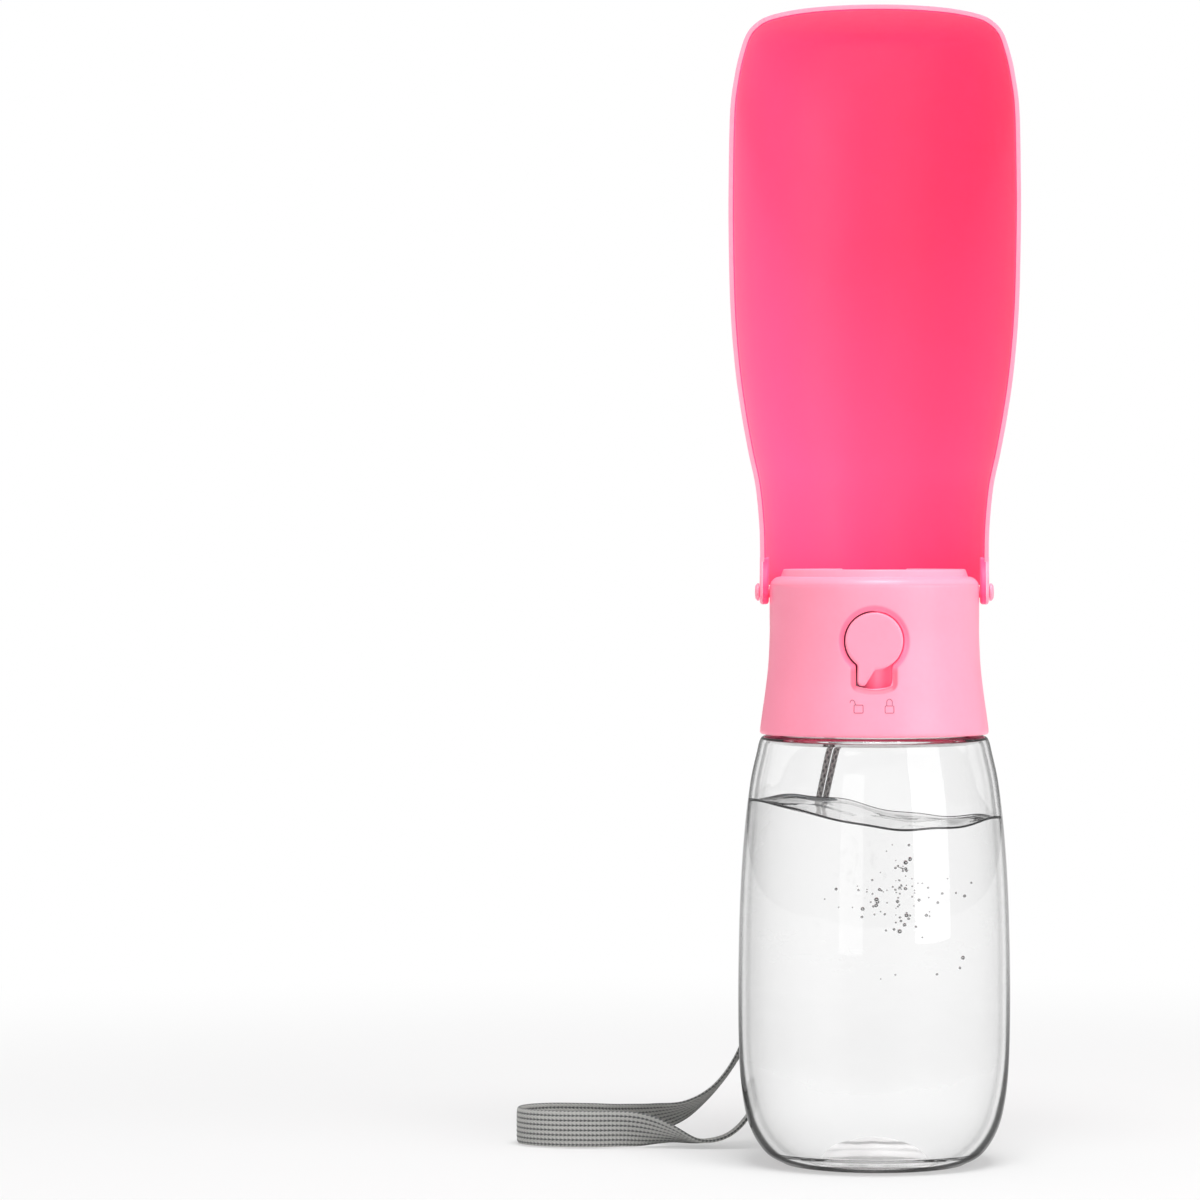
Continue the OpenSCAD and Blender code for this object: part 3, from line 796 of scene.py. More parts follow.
class Finishes:
    """The object's materials, each made when it is first asked for."""

    def __init__(self):
        self.made = {}

    def get(self, name):
        """The material of that name."""
        if name not in self.made:
            self.made[name] = getattr(self, "make_" + name)().material
        return self.made[name]

    @property
    def colours(self):
        """The user's colours."""
        return bpy.context.scene.bottle_colours

    def make_light_pink(self):
        """Satin plastic of the trough's outside, with a painted red glow."""
        return moulded("LightPink", tuple(self.colours.light_pink), 0.36,
                       settings={"Specular IOR Level": 0.42, **SOFT_GLOW})

    def make_head_pink(self):
        """The same plastic for the head's shell, with painted shade, light and glow in and round
        the button's well.
        """
        finish = moulded("HeadPink", tuple(self.colours.light_pink), 0.36,
                         settings={"Specular IOR Level": 0.42, **SOFT_GLOW})
        x, y, height = finish.coordinates()
        z = height - BUTTON_Z
        reach = (x * x + z * z) ** 0.5
        sideways = (x.size() - NOTCH_HALF).most(z)
        below = reach - NOTCH_DROP
        corner = (sideways.most(0.0) ** 2 + below.most(0.0) ** 2) ** 0.5
        notch = corner + sideways.most(below).least(0.0)
        edge = (reach - HOLE_R).least(notch)
        front = 1 - y.between(-20.0, -18.0)
        # Painted shade in the dish round the hole and notch.
        dish_shade_ring = (1 - edge.between(1.05, DISH_REACH)) * front * 0.85
        # Inside the hole and notch: painted bounce light and shade, with a painted highlight.
        inside = (1 - edge.between(0.0, 0.16)) * front
        lower = 1 - z.between(-9.0, -7.0)
        # A painted shadow in the gap on the button's left and lower left, where its glow is cut off
        # too.
        gap = inside * (1 - (x + lower * 1.8).between(-2.6, 1.4))
        # A painted highlight down the notch, just right of its middle.
        notch_highlight = x.between(-0.8, 0.8) * (1 - x.between(1.0, 3.4))
        plain = finish.shader.inputs["Base Color"].links[0].from_socket
        # The painted shade's pink, darker still over the dish's lower part.
        well = shade_of(self.colours.well_shade_pink)
        low_well_shade = (well[0], well[1] * 0.6, well[2] * 0.55, 1.0)
        dish_shade_colour = finish.blend(z.between(-8.5, -6.0), low_well_shade, well)
        tone = finish.blend(inside, finish.blend(dish_shade_ring, plain, dish_shade_colour),
                            finish.blend(notch_highlight, NOTCH_BOUNCE_TONE, NOTCH_HIGHLIGHT_TONE))
        finish.paint(finish.blend(gap * 0.92, tone, GAP_SHADOW_TONE))
        # Painted red glow, stronger in the hole and notch, and none in the painted gap shadow.
        glow = finish.blend(inside, SOFT_GLOW["Emission Color"], NOTCH_GLOW)
        finish.feed(finish.shader.inputs["Emission Color"], finish.blend(gap, glow, BLACK))
        return finish

    def make_deep_pink(self):
        """Glossier, deeper plastic of the trough's inside, with a painted red glow."""
        return moulded("DeepPink", tuple(self.colours.deep_pink), 0.5, depth=0.004,
                       settings={"Specular IOR Level": 0.5, "Sheen Weight": 0.22,
                                 "Sheen Roughness": 0.8, **DEEP_GLOW})

    def make_icon_pink(self):
        """The slightly greyer raised lines of the icons."""
        pink = self.colours.light_pink
        return moulded("IconPink", (pink[0] * 0.6, pink[1] * 0.55, pink[2] * 0.6), 0.45)

    def make_clear_plastic(self):
        """Clear moulded plastic with faint flow lines, painted shade by facing, a painted dark
        outline and painted, glowing dome rings.
        """
        finish = Finish("ClearPlastic", tuple(self.colours.clear_plastic), 0.015,
                        {"Transmission Weight": 1.0, "IOR": 1.49})
        x, y, z = finish.coordinates()
        reach = (x * x + y * y) ** 0.5
        # The wall's painted shade: lean widens it low down, flat leaves it off the floor's flat
        # ring, and empty halves it above the water except at the edges.
        lean = (1 - z.between(4.0, 34.0)) * 0.1
        low = 1 - z.between(DOME_CLEAR_Z, DOME_CLEAR_Z + 1)
        dome = (1 - reach.between(15.0, BASE_FLAT_R)) * low * z.between(3.0, 4.5)
        flat = (1 - reach.between(24.0, 26.0)) * low * z.between(2.4, 2.75)
        empty = z.between(90.0, 98.0) * (1 - finish.facing.between(0.66, 0.71)) * 0.5
        finish.paint(finish.blend(flat.most(empty), finish.edge_tint(WALL_GREYS, lean),
                                  CLEAR_TONE))
        haze = finish.noise(9, 3.0)
        finish.polish((haze - 0.5).most(0.0) * 0.08 + 0.008)
        finish.bump(finish.noise(22, 1.0, stretch=(1.0, 1.0, 0.5)), 0.05)
        # A painted dark outline along the wall's edges, stronger low down.
        edge = finish.facing + lean
        outline = edge.between(0.73, 0.8) * (1 - edge.between(0.88, 0.98) * 0.5)
        depth = (1 - z.between(20.0, 66.0)) * 0.62 + 0.16
        # Painted rings on the floor's dome: dark at its foot, rib and crest and pale between, under
        # a dull cover that glows in their colour.
        crest = (z - DOME_CREST_Z).size().between(0.1, 0.42)
        foot = (z - DOME_FOOT_Z).size().between(0.2, 0.7)
        rib = (z - DOME_RIB_Z).size().between(0.05, 0.5) * 0.45 + 0.55
        rings = crest.least(foot).least(rib) * (haze.between(0.3, 0.7) * 0.35 + 0.65)
        finish.cover_with(outline * depth * (1 - flat) + dome * 0.85, finish.blend(
            dome, OUTLINE_TONE, finish.blend(rings, DOME_DARK, DOME_PALE)))
        return finish

    def make_water(self):
        """Clear water with painted shade by facing, stronger on the left."""
        finish = Finish("Water", tuple(self.colours.water), 0.0,
                        {"Transmission Weight": 1.0, "IOR": 1.333})
        x = finish.coordinates()[0]
        # Painted shade by facing, full on the left and fading towards the plain clear tone on the
        # right.
        finish.paint(finish.blend(x.between(-12.0, 30.0) * 0.62, finish.edge_tint(WATER_GREYS),
                                  CLEAR_WATER))
        finish.bump(finish.noise(9, 2.0), 0.12)
        return finish

    def make_water_edge(self):
        """A dark ring of painted shade where the water climbs the wall."""
        return Finish("WaterEdge", (0.07, 0.075, 0.08), 0.15, {"Transmission Weight": 0.25})

    def make_bubble(self):
        """Air seen from the water round it, with painted shade that darkens all but its middle."""
        finish = Finish("Bubble", (1.0, 1.0, 1.0), 0.0,
                        {"Transmission Weight": 1.0, "IOR": 0.75})
        # Painted shade by facing: a pale middle and a dark rim.
        finish.paint(finish.edge_tint(BUBBLE_GREYS))
        return finish

    def make_valve_plastic(self):
        """Natural acetal of the hidden valve."""
        return moulded("ValvePlastic", tuple(self.colours.valve_plastic), 0.42, depth=0.008)

    def make_silicone(self):
        """Milky silicone of the seals, a little see-through."""
        return moulded("Silicone", tuple(self.colours.silicone), 0.5, grain=0.2, depth=0.01,
                       settings={"Subsurface Weight": 0.3, "Subsurface Scale": 0.001})

    def make_spring_steel(self):
        """Drawn wire with fine lengthwise lines."""
        finish = Finish("SpringSteel", tuple(self.colours.spring_steel), 0.3,
                        {"Metallic": 1.0})
        drawn = finish.noise(0.12, 2.0, stretch=(1.0, 6.0, 1.0))
        finish.polish(drawn * 0.2 + 0.2)
        finish.paint(finish.blend(drawn, shade_of(self.colours.spring_steel, 0.85),
                                  shade_of(self.colours.spring_steel, 1.1)))
        finish.bump(drawn, 0.003)
        return finish

    def make_block_slate(self):
        """Fine-textured slate plastic."""
        return moulded("BlockSlate", tuple(self.colours.block_slate), 0.48, grain=0.16,
                       depth=0.02)

    def make_cord_yarn(self):
        """Braided yarn: light strands that cross, dark in the gaps, with loose fibres."""
        finish = Finish("CordYarn", tuple(self.colours.yarn_light), 0.85,
                        {"Sheen Weight": 0.25, "Specular IOR Level": 0.2})
        around = finish.part(finish.uv, "X") * (FULL_TURN * CORD_STRANDS / 2)
        along = finish.part(finish.uv, "Y") * (FULL_TURN / CORD_BRAID)
        left = (around + along).wave()
        right = (around - along).wave()
        crest = left.most(right)
        fibre = finish.noise(0.09, 3.0, stretch=(1.0, 1.0, 0.25))
        yarn = (crest + (fibre - 0.5) * 0.5).between(-0.15, 0.75)
        finish.paint(finish.blend(yarn, shade_of(self.colours.yarn_dark),
                                  shade_of(self.colours.yarn_light)))
        finish.polish((fibre - 0.5) * 0.2 + 0.82)
        finish.bump(crest + fibre * 0.4, 0.09)
        return finish

    def make_webbing_yarn(self):
        """Knitted webbing: lengthwise ribs of small chevrons with dark rows between them."""
        finish = Finish("WebbingYarn", tuple(self.colours.yarn_light), 0.88,
                        {"Sheen Weight": 0.3, "Specular IOR Level": 0.2})
        ribs = bpy.context.scene.bottle_sizes.webbing_ribs
        across = finish.part(finish.uv, "X") * (2.0 * (ribs + 0.5))
        along = finish.part(finish.uv, "Y") / WEBBING_STITCH
        place = across.fraction()
        crest = 1 - (place - 0.5).size() * 2
        chevron = ((along + (place - 0.5).size() * 1.3).fraction() - 0.5).size() * 2
        fibre = finish.noise(0.12, 3.0)
        light = (crest * 0.75 + chevron * 0.35 + (fibre - 0.5) * 0.5).between(0.22, 0.62)
        finish.paint(finish.blend(light, shade_of(self.colours.yarn_dark),
                                  shade_of(self.colours.yarn_light)))
        finish.polish((fibre - 0.5) * 0.16 + 0.84)
        finish.bump(crest * 0.5 + chevron + fibre * 0.5, 0.1)
        return finish


finishes = Finishes()


class Shape(Graph):
    """A Geometry Nodes tree with named inputs that makes one plain mesh."""

    KINDS = {float: "NodeSocketFloat", int: "NodeSocketInt",
             bpy.types.Material: "NodeSocketMaterial"}

    def __init__(self, name, inputs):
        tree = bpy.data.node_groups.new(name, "GeometryNodeTree")
        super().__init__(tree)
        tree.interface.new_socket("Geometry", in_out="INPUT",
                                  socket_type="NodeSocketGeometry")
        for key, value in inputs.items():
            tree.interface.new_socket(key, in_out="INPUT", socket_type=self.KINDS[type(value)])
        tree.interface.new_socket("Geometry", in_out="OUTPUT",
                                  socket_type="NodeSocketGeometry")
        self.entry = self.node("NodeGroupInput")
        self.inputs = inputs

    def get(self, key):
        """An input of the tree, as a number for sums or as a socket."""
        socket = self.entry.outputs[key]
        return Value(self, socket) if isinstance(self.inputs[key], (int, float)) else socket

    def made(self, geometry, name):
        """The plain mesh that the tree makes, real, in its material and with no modifier."""
        real = self.node("GeometryNodeRealizeInstances", None, {"Geometry": geometry})
        coated = self.node("GeometryNodeSetMaterial", None,
                           {"Geometry": real.outputs[0], "Material": self.get("Material")})
        self.node("NodeGroupOutput", None, {"Geometry": coated.outputs[0]})
        holder = new_object(name, bpy.data.meshes.new(name))
        modifier = holder.modifiers.new("Shape", "NODES")
        modifier.node_group = self.tree
        for item in self.tree.interface.items_tree:
            if item.in_out == "INPUT" and item.name in self.inputs:
                modifier[item.identifier] = self.inputs[item.name]
        return plain_mesh(holder)

    def coil(self, radius, height, turns, steps):
        """A right-handed helix about +Z that starts at +X, with its ends as they are."""
        made = self.node("GeometryNodeCurveSpiral", None,
                         {"Resolution": steps, "Rotations": turns, "Start Radius": radius,
                          "End Radius": radius, "Height": height, "Reverse": True})
        return made.outputs[0]

    def rod(self, line, radius, sides):
        """A tube along a curve, closed at both ends."""
        ring = self.node("GeometryNodeCurvePrimitiveCircle", None,
                         {"Resolution": sides, "Radius": radius})
        made = self.node("GeometryNodeCurveToMesh", None,
                         {"Curve": line, "Profile Curve": ring.outputs[0], "Fill Caps": True})
        return made.outputs[0]

    def random_vector(self, seed):
        """A random vector whose numbers lie between -1 and 1."""
        made = self.node("FunctionNodeRandomValue", {"data_type": "FLOAT_VECTOR"},
                         {"Min": (-1, -1, -1), "Max": (1, 1, 1), "Seed": seed})
        return made.outputs[0]

    def moved(self, geometry, offset, turn=(0.0, 0.0, 0.0)):
        """Geometry that is turned and then moved."""
        made = self.node("GeometryNodeTransform", None,
                         {"Geometry": geometry, "Translation": offset, "Rotation": turn})
        return made.outputs[0]


# ---- strap ------------------------------------------------------------------------------
def carried_sides(line):
    """The two sides of a tube at each point of its line, carried along without a twist."""
    ways = [heading(line, i) for i in range(len(line))]
    side = ways[0].orthogonal().normalized()
    found = []
    for before, way in zip([ways[0], *ways], ways):
        side = before.rotation_difference(way) @ side
        side = (side - way * side.dot(way)).normalized()
        found.append((side, way.cross(side)))
    return found


def braid_crest(around, along):
    """How far a braid's surface stands out, from -1 to 1."""
    turn = around * CORD_STRANDS / 2
    lead = FULL_TURN * along / CORD_BRAID
    return max(math.sin(turn + lead), math.sin(turn - lead))


def add_round_tube(skin, line, sides, reach):
    """Adds a tube along a line. reach gives its radius at an angle and a length along it."""
    frames = carried_sides(line)
    travelled = travelled_along(line)

    def section(i):
        side, other = frames[i]
        return [Vector(line[i]) + (side * math.cos(a) + other * math.sin(a))
                * reach(a, travelled[i]) for a in turn_angles(sides)]

    skin.tube(line, section)


def braided_tube(line, thickness):
    """A skin of braided cord along a line."""
    skin = Skin()
    add_round_tube(skin, line, CORD_SIDES,
                   lambda a, along: thickness / 2 * (0.93 + 0.07 * braid_crest(a, along)))
    return skin


def hitch_line():
    """The line of the hitch, which laps a little over its own start."""
    return [Vector(HITCH_CENTRE) + Vector(HITCH_ACROSS) * math.cos(a)
            + Vector(HITCH_THROUGH) * math.sin(a)
            for a in [FULL_TURN * i / 48 - 0.4 for i in range(53)]]


def make_strap_cord():
    """The cord that leaves the block, goes round the bar on the head and comes back."""
    thickness = bpy.context.scene.bottle_sizes.cord_thickness / MM
    line = through(CORD_ROUTE, 14)
    cord = braided_tube(line, thickness).show("strap_cord_braid", 180, "cord_yarn", "head",
                                              "cord_grey", ["strap_cord"])
    knot = braided_tube(hitch_line(), thickness * HITCH_THINNER).show(
        "strap_cord_hitch", 180, "cord_yarn", "head", "cord_grey")
    return cord, knot, line


def rounded_rectangle(half_w, half_h, corner, steps=7):
    """Points round a rectangle with round corners."""
    ring = []
    for turn, (sx, sz) in enumerate([(1, 1), (-1, 1), (-1, -1), (1, -1)]):
        for k in range(steps + 1):
            a = math.pi / 2 * (turn + k / steps)
            ring.append((sx * (half_w - corner) + corner * math.cos(a),
                         sz * (half_h - corner) + corner * math.sin(a)))
    return ring


def make_strap_block():
    """The moulded block that joins the cord to the webbing, with a framed panel on each face."""
    w, t, h = (side / 2 for side in BLOCK_SIZE)
    # Each row is a ring's half width, half height, corner and depth, from a face to the middle.
    half = [(w - 3.2, h - 4.2, 0.7, t - 0.02), (w - 2.75, h - 3.75, 0.9, t - 0.02),
            (w - 2.6, h - 3.6, 1.0, t - 0.32), (w - 2.2, h - 3.2, 1.2, t - 0.32),
            (w - 2.05, h - 3.05, 1.3, t), (w - 0.75, h - 0.75, 1.6, t),
            (w - 0.3, h - 0.3, 1.9, t - 0.18), (w - 0.06, h - 0.06, 2.0, t - 0.6),
            (w, h, 2.0, t - 1.1), (w, h, 2.0, 0.12), (w - 0.1, h - 0.1, 1.95, 0.04)]
    rows = [(a, b, r, -y) for a, b, r, y in half] + [(a, b, r, y) for a, b, r, y in half[::-1]]
    turn = Matrix.Rotation(BLOCK_TILT, 3, "Y") @ Matrix.Rotation(BLOCK_TURN, 3, "Z")
    skin = Skin()
    rings = [[turn @ Vector((x, y, z)) + Vector(BLOCK_CENTRE)
              for x, z in rounded_rectangle(a, b, r)] for a, b, r, y in rows]
    made = skin.loft(rings)
    skin.cap(made[0])
    skin.cap(made[-1])
    return skin.show("strap_block_moulding", 50, "block_slate", "head", "block_slate",
                     ["strap_block"])


def make_strap_webbing():
    """The wrist loop: ribbed webbing from the block, along the floor and back."""
    sizes = bpy.context.scene.bottle_sizes
    half_w = sizes.webbing_width / MM / 2
    half_t = sizes.webbing_thickness / MM / 2
    per_side = sizes.webbing_ribs * 5
    rows = through(WEBBING_ROUTE, 16)
    line = [row[:3] for row in rows]

    def section(i):
        way = heading(line, i)
        wide = Vector(rows[i][3:])
        wide = (wide - way * wide.dot(way)).normalized()
        thick = way.cross(wide).normalized()
        ring = []
        for k in range(2 * per_side):
            side = 1 if k < per_side else -1
            x = side * (1 - 2 * (k % per_side) / per_side)
            rib = abs(math.sin(math.pi * sizes.webbing_ribs * (0.5 - x / 2))) ** 0.7
            reach = half_t * (1 - 0.75 * abs(x) ** 8) * (0.78 + 0.22 * rib)
            ring.append(Vector(line[i]) + wide * (x * half_w) + thick * (side * reach))
        return ring

    skin = Skin()
    skin.tube(line, section)
    webbing = skin.show("strap_webbing_knit", 180, "webbing_yarn", "head", "webbing_grey",
                        ["strap_webbing"])
    return webbing, line


class BOTTLE_OT_strap(bpy.types.Operator):
    """Makes the cord, its hitch, the block and the wrist loop"""

    bl_idname = "bottle.strap"
    bl_label = "Strap"

    def execute(self, context):
        cord, knot, cord_line = make_strap_cord()
        block = make_strap_block()
        webbing, webbing_line = make_strap_webbing()
        return {"FINISHED"}


# ---- bottle and water -------------------------------------------------------------------
def bottle_outside():
    """The bottle's outer (radius, height) curve from its base ring to its shoulder."""
    return spline(BOTTLE_STATIONS, 7)


def bottle_inside(wall):
    """The bottle's inner curve, from the shoulder down to the floor."""
    return [(r, z) for r, z in reversed(inset(bottle_outside(), wall))
            if z > FLOOR_Z + FLOOR_BLEND and r > NECK_R - wall]


class BOTTLE_OT_bottle(bpy.types.Operator):
    """Makes the clear bottle with its moulded base and neck, and the thread on the neck"""

    bl_idname = "bottle.bottle"
    bl_label = "Bottle"

    def execute(self, context):
        wall = context.scene.bottle_sizes.bottle_wall / MM
        neck_in = NECK_R - wall
        base = rounded([(0, GATE_PAD_Z, 0), (GATE_PAD_R, GATE_PAD_Z, 0.8),
                        (GATE_PAD_R + 1.4, PUNT_Z, 1.2), (BASE_FLAT_R - 1.8, PUNT_Z, 1.2),
                        (BASE_FLAT_R, 0, 0.9), (25, 0, 0)])
        neck = rounded([(29.3, SHOULDER_Z, 0), (NECK_R, SHOULDER_Z, 0.5),
                        (NECK_R, NECK_TOP, 0.4), (neck_in, NECK_TOP, 0.4),
                        (neck_in, SHOULDER_Z - wall - 0.8, 0)])
        floor = [*rounded([(27, FLOOR_Z + 0.9, 0), (FLOOR_EDGE_R, FLOOR_Z, 1.5),
                           (FLOOR_FLAT_R, FLOOR_Z, 0)]), *through(FLOOR_RINGS, 3)]
        profile = [*base[:-1], *bottle_outside(), *neck[1:], *bottle_inside(wall), *floor[1:]]
        turned(profile, BOTTLE_COLUMNS).show("bottle_blow_moulding", 45, "clear_plastic",
                                             "bottle", "clear_bottle", ["bottle"])
        self.make_thread()
        return {"FINISHED"}

    def make_thread(self):
        """The raised thread round the neck, tapered into it at both ends."""
        mesh = helix_ridge("bottle_thread", "clear_plastic", NECK_R + 0.15, THREAD_LOW,
                           THREAD_DEPTH * 0.82)
        show("bottle_thread", mesh, "clear_plastic", "bottle")


def helix_ridge(name, finish, radius, low, depth):
    """A round-backed ridge that winds up a cylinder, made by a node tree."""
    shape = Shape(name, {"Material": finishes.get(finish), "Radius": radius * MM,
                         "Rise": THREAD_PITCH * THREAD_TURNS * MM, "Turns": THREAD_TURNS,
                         "Depth": depth * MM})
    line = shape.coil(shape.get("Radius"), shape.get("Rise"), shape.get("Turns"), 72)
    share = Value(shape, shape.node("GeometryNodeSplineParameter").outputs["Factor"])
    ends = (share * 14).least((1 - share) * 14).least(1.0).most(0.02)
    thick = shape.node("GeometryNodeSetCurveRadius", None, {"Curve": line, "Radius": ends})
    tube = shape.rod(thick.outputs[0], shape.get("Depth"), 10)
    return shape.made(shape.moved(tube, (0, 0, low * MM)), name)


def water_level(x, y):
    """Height of the water's waves: high on the left, with a dip right of the middle."""
    sizes = bpy.context.scene.bottle_sizes
    high = sizes.wave_height / MM / (1 + math.exp((x - WAVE_STEP_X - 0.14 * y) / WAVE_STEP_WIDTH))
    right = RIGHT_RISE * smooth_step(17, 33, x)
    ripple = 0.28 * math.sin(0.31 * x + 0.12 * y) + 0.2 * math.sin(0.22 * y - 0.1 * x + 1)
    return sizes.water_height / MM + high + right + ripple


class BOTTLE_OT_water(bpy.types.Operator):
    """Makes the water in the bottle and the bubbles in it"""

    bl_idname = "bottle.water"
    bl_label = "Water"

    def execute(self, context):
        sizes = context.scene.bottle_sizes
        inner = sorted(bottle_inside(sizes.bottle_wall / MM - WATER_OVERLAP),
                       key=lambda point: point[1])
        angles = turn_angles(BOTTLE_COLUMNS)
        tops = [self.edge_height(a, inner) for a in angles]
        skin = Skin()
        rings = self.floor_rings(skin, angles, inner[0])
        for share in steps_between(0, 1, WATER_ROWS):
            heights = [mix(inner[0][1], top, share) for top in tops]
            rings.append(skin.ring([about_axis(value_at(inner, z), a, z)
                                    for a, z in zip(angles, heights)]))
        rims = [value_at(inner, top) for top in tops]
        shares = [0.996, 0.985, 0.965, 0.94, 0.9, *[0.86 - 0.06 * k for k in range(14)], 0.02]
        for share in shares:
            rings.append(skin.ring([self.top_point(a, rim, share)
                                    for a, rim in zip(angles, rims)]))
        skin.loft(rings)
        skin.cap(rings[-1])
        skin.show("water", 60, "water", "bottle", "clear_bottle")
        self.make_edge(angles, tops, inner)
        self.make_bubbles(sizes)
        return {"FINISHED"}

    @staticmethod
    def edge_height(a, inner):
        """The height at which the water meets the wall at an angle from the front."""
        top = WATER_FIRST_GUESS
        for _ in range(6):
            x, y, _ = about_axis(value_at(inner, top), a, top)
            top = water_level(x, y) + MENISCUS_RISE
        return top

    @staticmethod
    def top_point(a, rim, share):
        """A point of the water's top, which climbs near the wall."""
        x, y, _ = about_axis(rim * share, a, 0)
        climb = MENISCUS_RISE * math.exp(-(rim - rim * share) / MENISCUS_REACH)
        return (x, y, water_level(x, y) + climb)

    @staticmethod
    def floor_rings(skin, angles, lowest):
        """The water's underside, sunk a little into the floor so that no gap is left."""
        floor_z = FLOOR_Z - WATER_OVERLAP * 0.8
        floor = [(r, z - FLOOR_Z + floor_z) for r, z in through(FLOOR_RINGS, 3)[::-1]]
        floor += rounded([(FLOOR_FLAT_R, floor_z, 0), (FLOOR_EDGE_R, floor_z, 1.2),
                          (lowest[0] - 0.3, lowest[1] - 0.3, 0)])
        rings = [skin.ring([about_axis(r, a, z) for a in angles]) for r, z in floor[1:]]
        skin.cap(rings[0], (0, 0, floor[0][1]))
        return rings

    @staticmethod
    def make_edge(angles, tops, inner):
        """A ring of painted shade round the wall where the water ends, thickest at the front."""
        skin = Skin()
        sides = []
        for a, top in zip(angles, tops):
            half = mix(0.1, 0.3, (1 + math.cos(a)) / 2)
            r = value_at(inner, top) - WATER_OVERLAP
            ring = [(r - half * 0.6 + half * math.cos(t), top - half + half * math.sin(t))
                    for t in turn_angles(8)]
            sides.append([about_axis(reach, a, z) for reach, z in ring])
        skin.loft(sides, loop=True)
        skin.show("water_edge", 60, "water_edge", "bottle", "clear_bottle")

    def make_bubbles(self, sizes):
        """A loose cloud of bubbles with two dense clumps in it."""
        shape = Shape("bubbles", {"Material": finishes.get("bubble"),
                                  "Count": sizes.bubble_count,
                                  "Largest": sizes.bubble_radius})
        ball = shape.node("GeometryNodeMeshIcoSphere", None,
                          {"Radius": shape.get("Largest"), "Subdivisions": 2})
        joined = shape.node("GeometryNodeJoinGeometry")
        for count, group in [(shape.get("Count"), BUBBLE_CLOUD), *BUBBLE_CLUMPS]:
            shape.feed(joined.inputs[0], self.bubble_group(shape, ball, count, *group))
        mesh = shape.made(joined.outputs[0], "bubbles")
        mesh.shade_smooth()
        show("bubbles", mesh, "bubble", "bottle")

    @staticmethod
    def bubble_group(shape, ball, count, seed, reach, drift, middle):
        """Balls of uneven size that crowd round a point, all below the water's waves."""
        reach, drift, middle = ([MM * c for c in sizes] for sizes in (reach, drift, middle))
        cloud = shape.node("GeometryNodePoints", None, {"Count": count})
        bunch = shape.random_vector(seed)
        spread = shape.random_vector(seed + 12)
        near = shape.vector("MULTIPLY", shape.vector("MULTIPLY", spread, bunch), reach)
        wide = shape.vector("ADD", near, shape.vector("MULTIPLY", spread, drift))
        place = shape.vector("MINIMUM", shape.vector("ADD", wide, middle),
                             (1, 1, BUBBLE_TOP * MM))
        placed = shape.node("GeometryNodeSetPosition", None,
                            {"Geometry": cloud.outputs[0], "Position": place})
        draw = shape.node("FunctionNodeRandomValue", {"data_type": "FLOAT"},
                          {2: 0.0, 3: 1.0, "Seed": 5})
        scale = Value(shape, draw.outputs[1]) ** 2.6 * 0.72 + 0.28
        balls = shape.node("GeometryNodeInstanceOnPoints", None,
                           {"Points": placed.outputs[0], "Instance": ball.outputs[0],
                            "Scale": scale})
        return balls.outputs[0]


# ---- head -------------------------------------------------------------------------------
PATCH_HALF = 14
PATCH_TURN = math.asin(PATCH_HALF / HEAD_R)
PATCH_LOW = 125.5
PATCH_HIGH = 154.5
PATCH_COLUMNS = 84
PATCH_ROWS = 52
BACK_COLUMNS = 120
SHOULDER_R = HEAD_R - RING_R
SEAM_TURN = math.asin(1 / SHOULDER_R)
DISH_REACH = 1.75
DISH_DEPTH = 0.6
EDGE_ROUND = 0.24
# How far each ring of the dish lies outside the hole's outline.
DISH_RINGS = (DISH_REACH, 1.5, 1.25, 1.05, 0.85, 0.65, 0.48, 0.34, EDGE_ROUND, 0.15, 0.08,
              0.03, 0.0)
HEAD_CURVE = spline(HEAD_STATIONS, 24)
# The pointer narrows from a circle at its root to one at its tip: (distance, radius).
POINTER_ROOT = (6.2, 2.6)
POINTER_TIP = (11.15, 1.3)


def soft_least(a, b, blend):
    """The smaller of two numbers, with a rounded change from one to the other."""
    h = max(blend - abs(a - b), 0) / blend
    return min(a, b) - h * h * blend / 4


def soft_most(a, b, blend):
    """The larger of two numbers, with a rounded change from one to the other."""
    return -soft_least(-a, -b, blend)


def hole_reach(turn, grow):
    """How far the button's hole and notch reach from its axis, offset outward by grow."""
    side, up = math.cos(turn), math.sin(turn)
    if up >= 0:
        return HOLE_R + grow
    wall = (NOTCH_HALF + grow) / max(abs(side), 1e-3)
    return soft_most(HOLE_R + grow, soft_least(wall, NOTCH_DROP + grow, 2.4), 0.7)


def cap_reach(turn, grow):
    """How far the button's face and pointer reach from its axis, offset outward by grow."""
    pointer = -math.pi / 2 - POINTER_TURN
    best = 0.0
    for share in steps_between(0, 1, 40):
        out, radius = [mix(a, b, share) for a, b in zip(POINTER_ROOT, POINTER_TIP)]
        facing = out * math.cos(turn - pointer)
        room = facing * facing - out * out + (radius + grow) ** 2
        if room >= 0:
            best = max(best, facing + math.sqrt(room))
    return soft_most(BUTTON_R + grow, best, 0.6)


def even_turns(reach, grow, first, last, count):
    """Angles from first towards last that split an outline into count equal lengths."""
    turns = steps_between(first, last, 600)
    run = travelled_along([(reach(t, grow) * math.cos(t), reach(t, grow) * math.sin(t))
                           for t in turns])
    found = []
    k = 0
    for i in range(count):
        goal = run[-1] * i / count
        while run[k + 1] < goal:
            k += 1
        found.append(mix(turns[k], turns[k + 1], (goal - run[k]) / (run[k + 1] - run[k])))
    return found


def head_radius(z):
    """The head's outer radius at a height."""
    return value_at(HEAD_CURVE, z)


def shoulder_point(turn):
    """A (radius, height) point of the round shoulder above the shell's straight side."""
    return (RING_R + SHOULDER_R * math.cos(turn), HEAD_TOP - 1 + SHOULDER_R * math.sin(turn))


def front_of_head(x, z, out=0.0):
    """The point on the head's front at (x, z), moved out by out."""
    return (x, -math.sqrt(max((head_radius(z) + out) ** 2 - x * x, 1.0)), z)


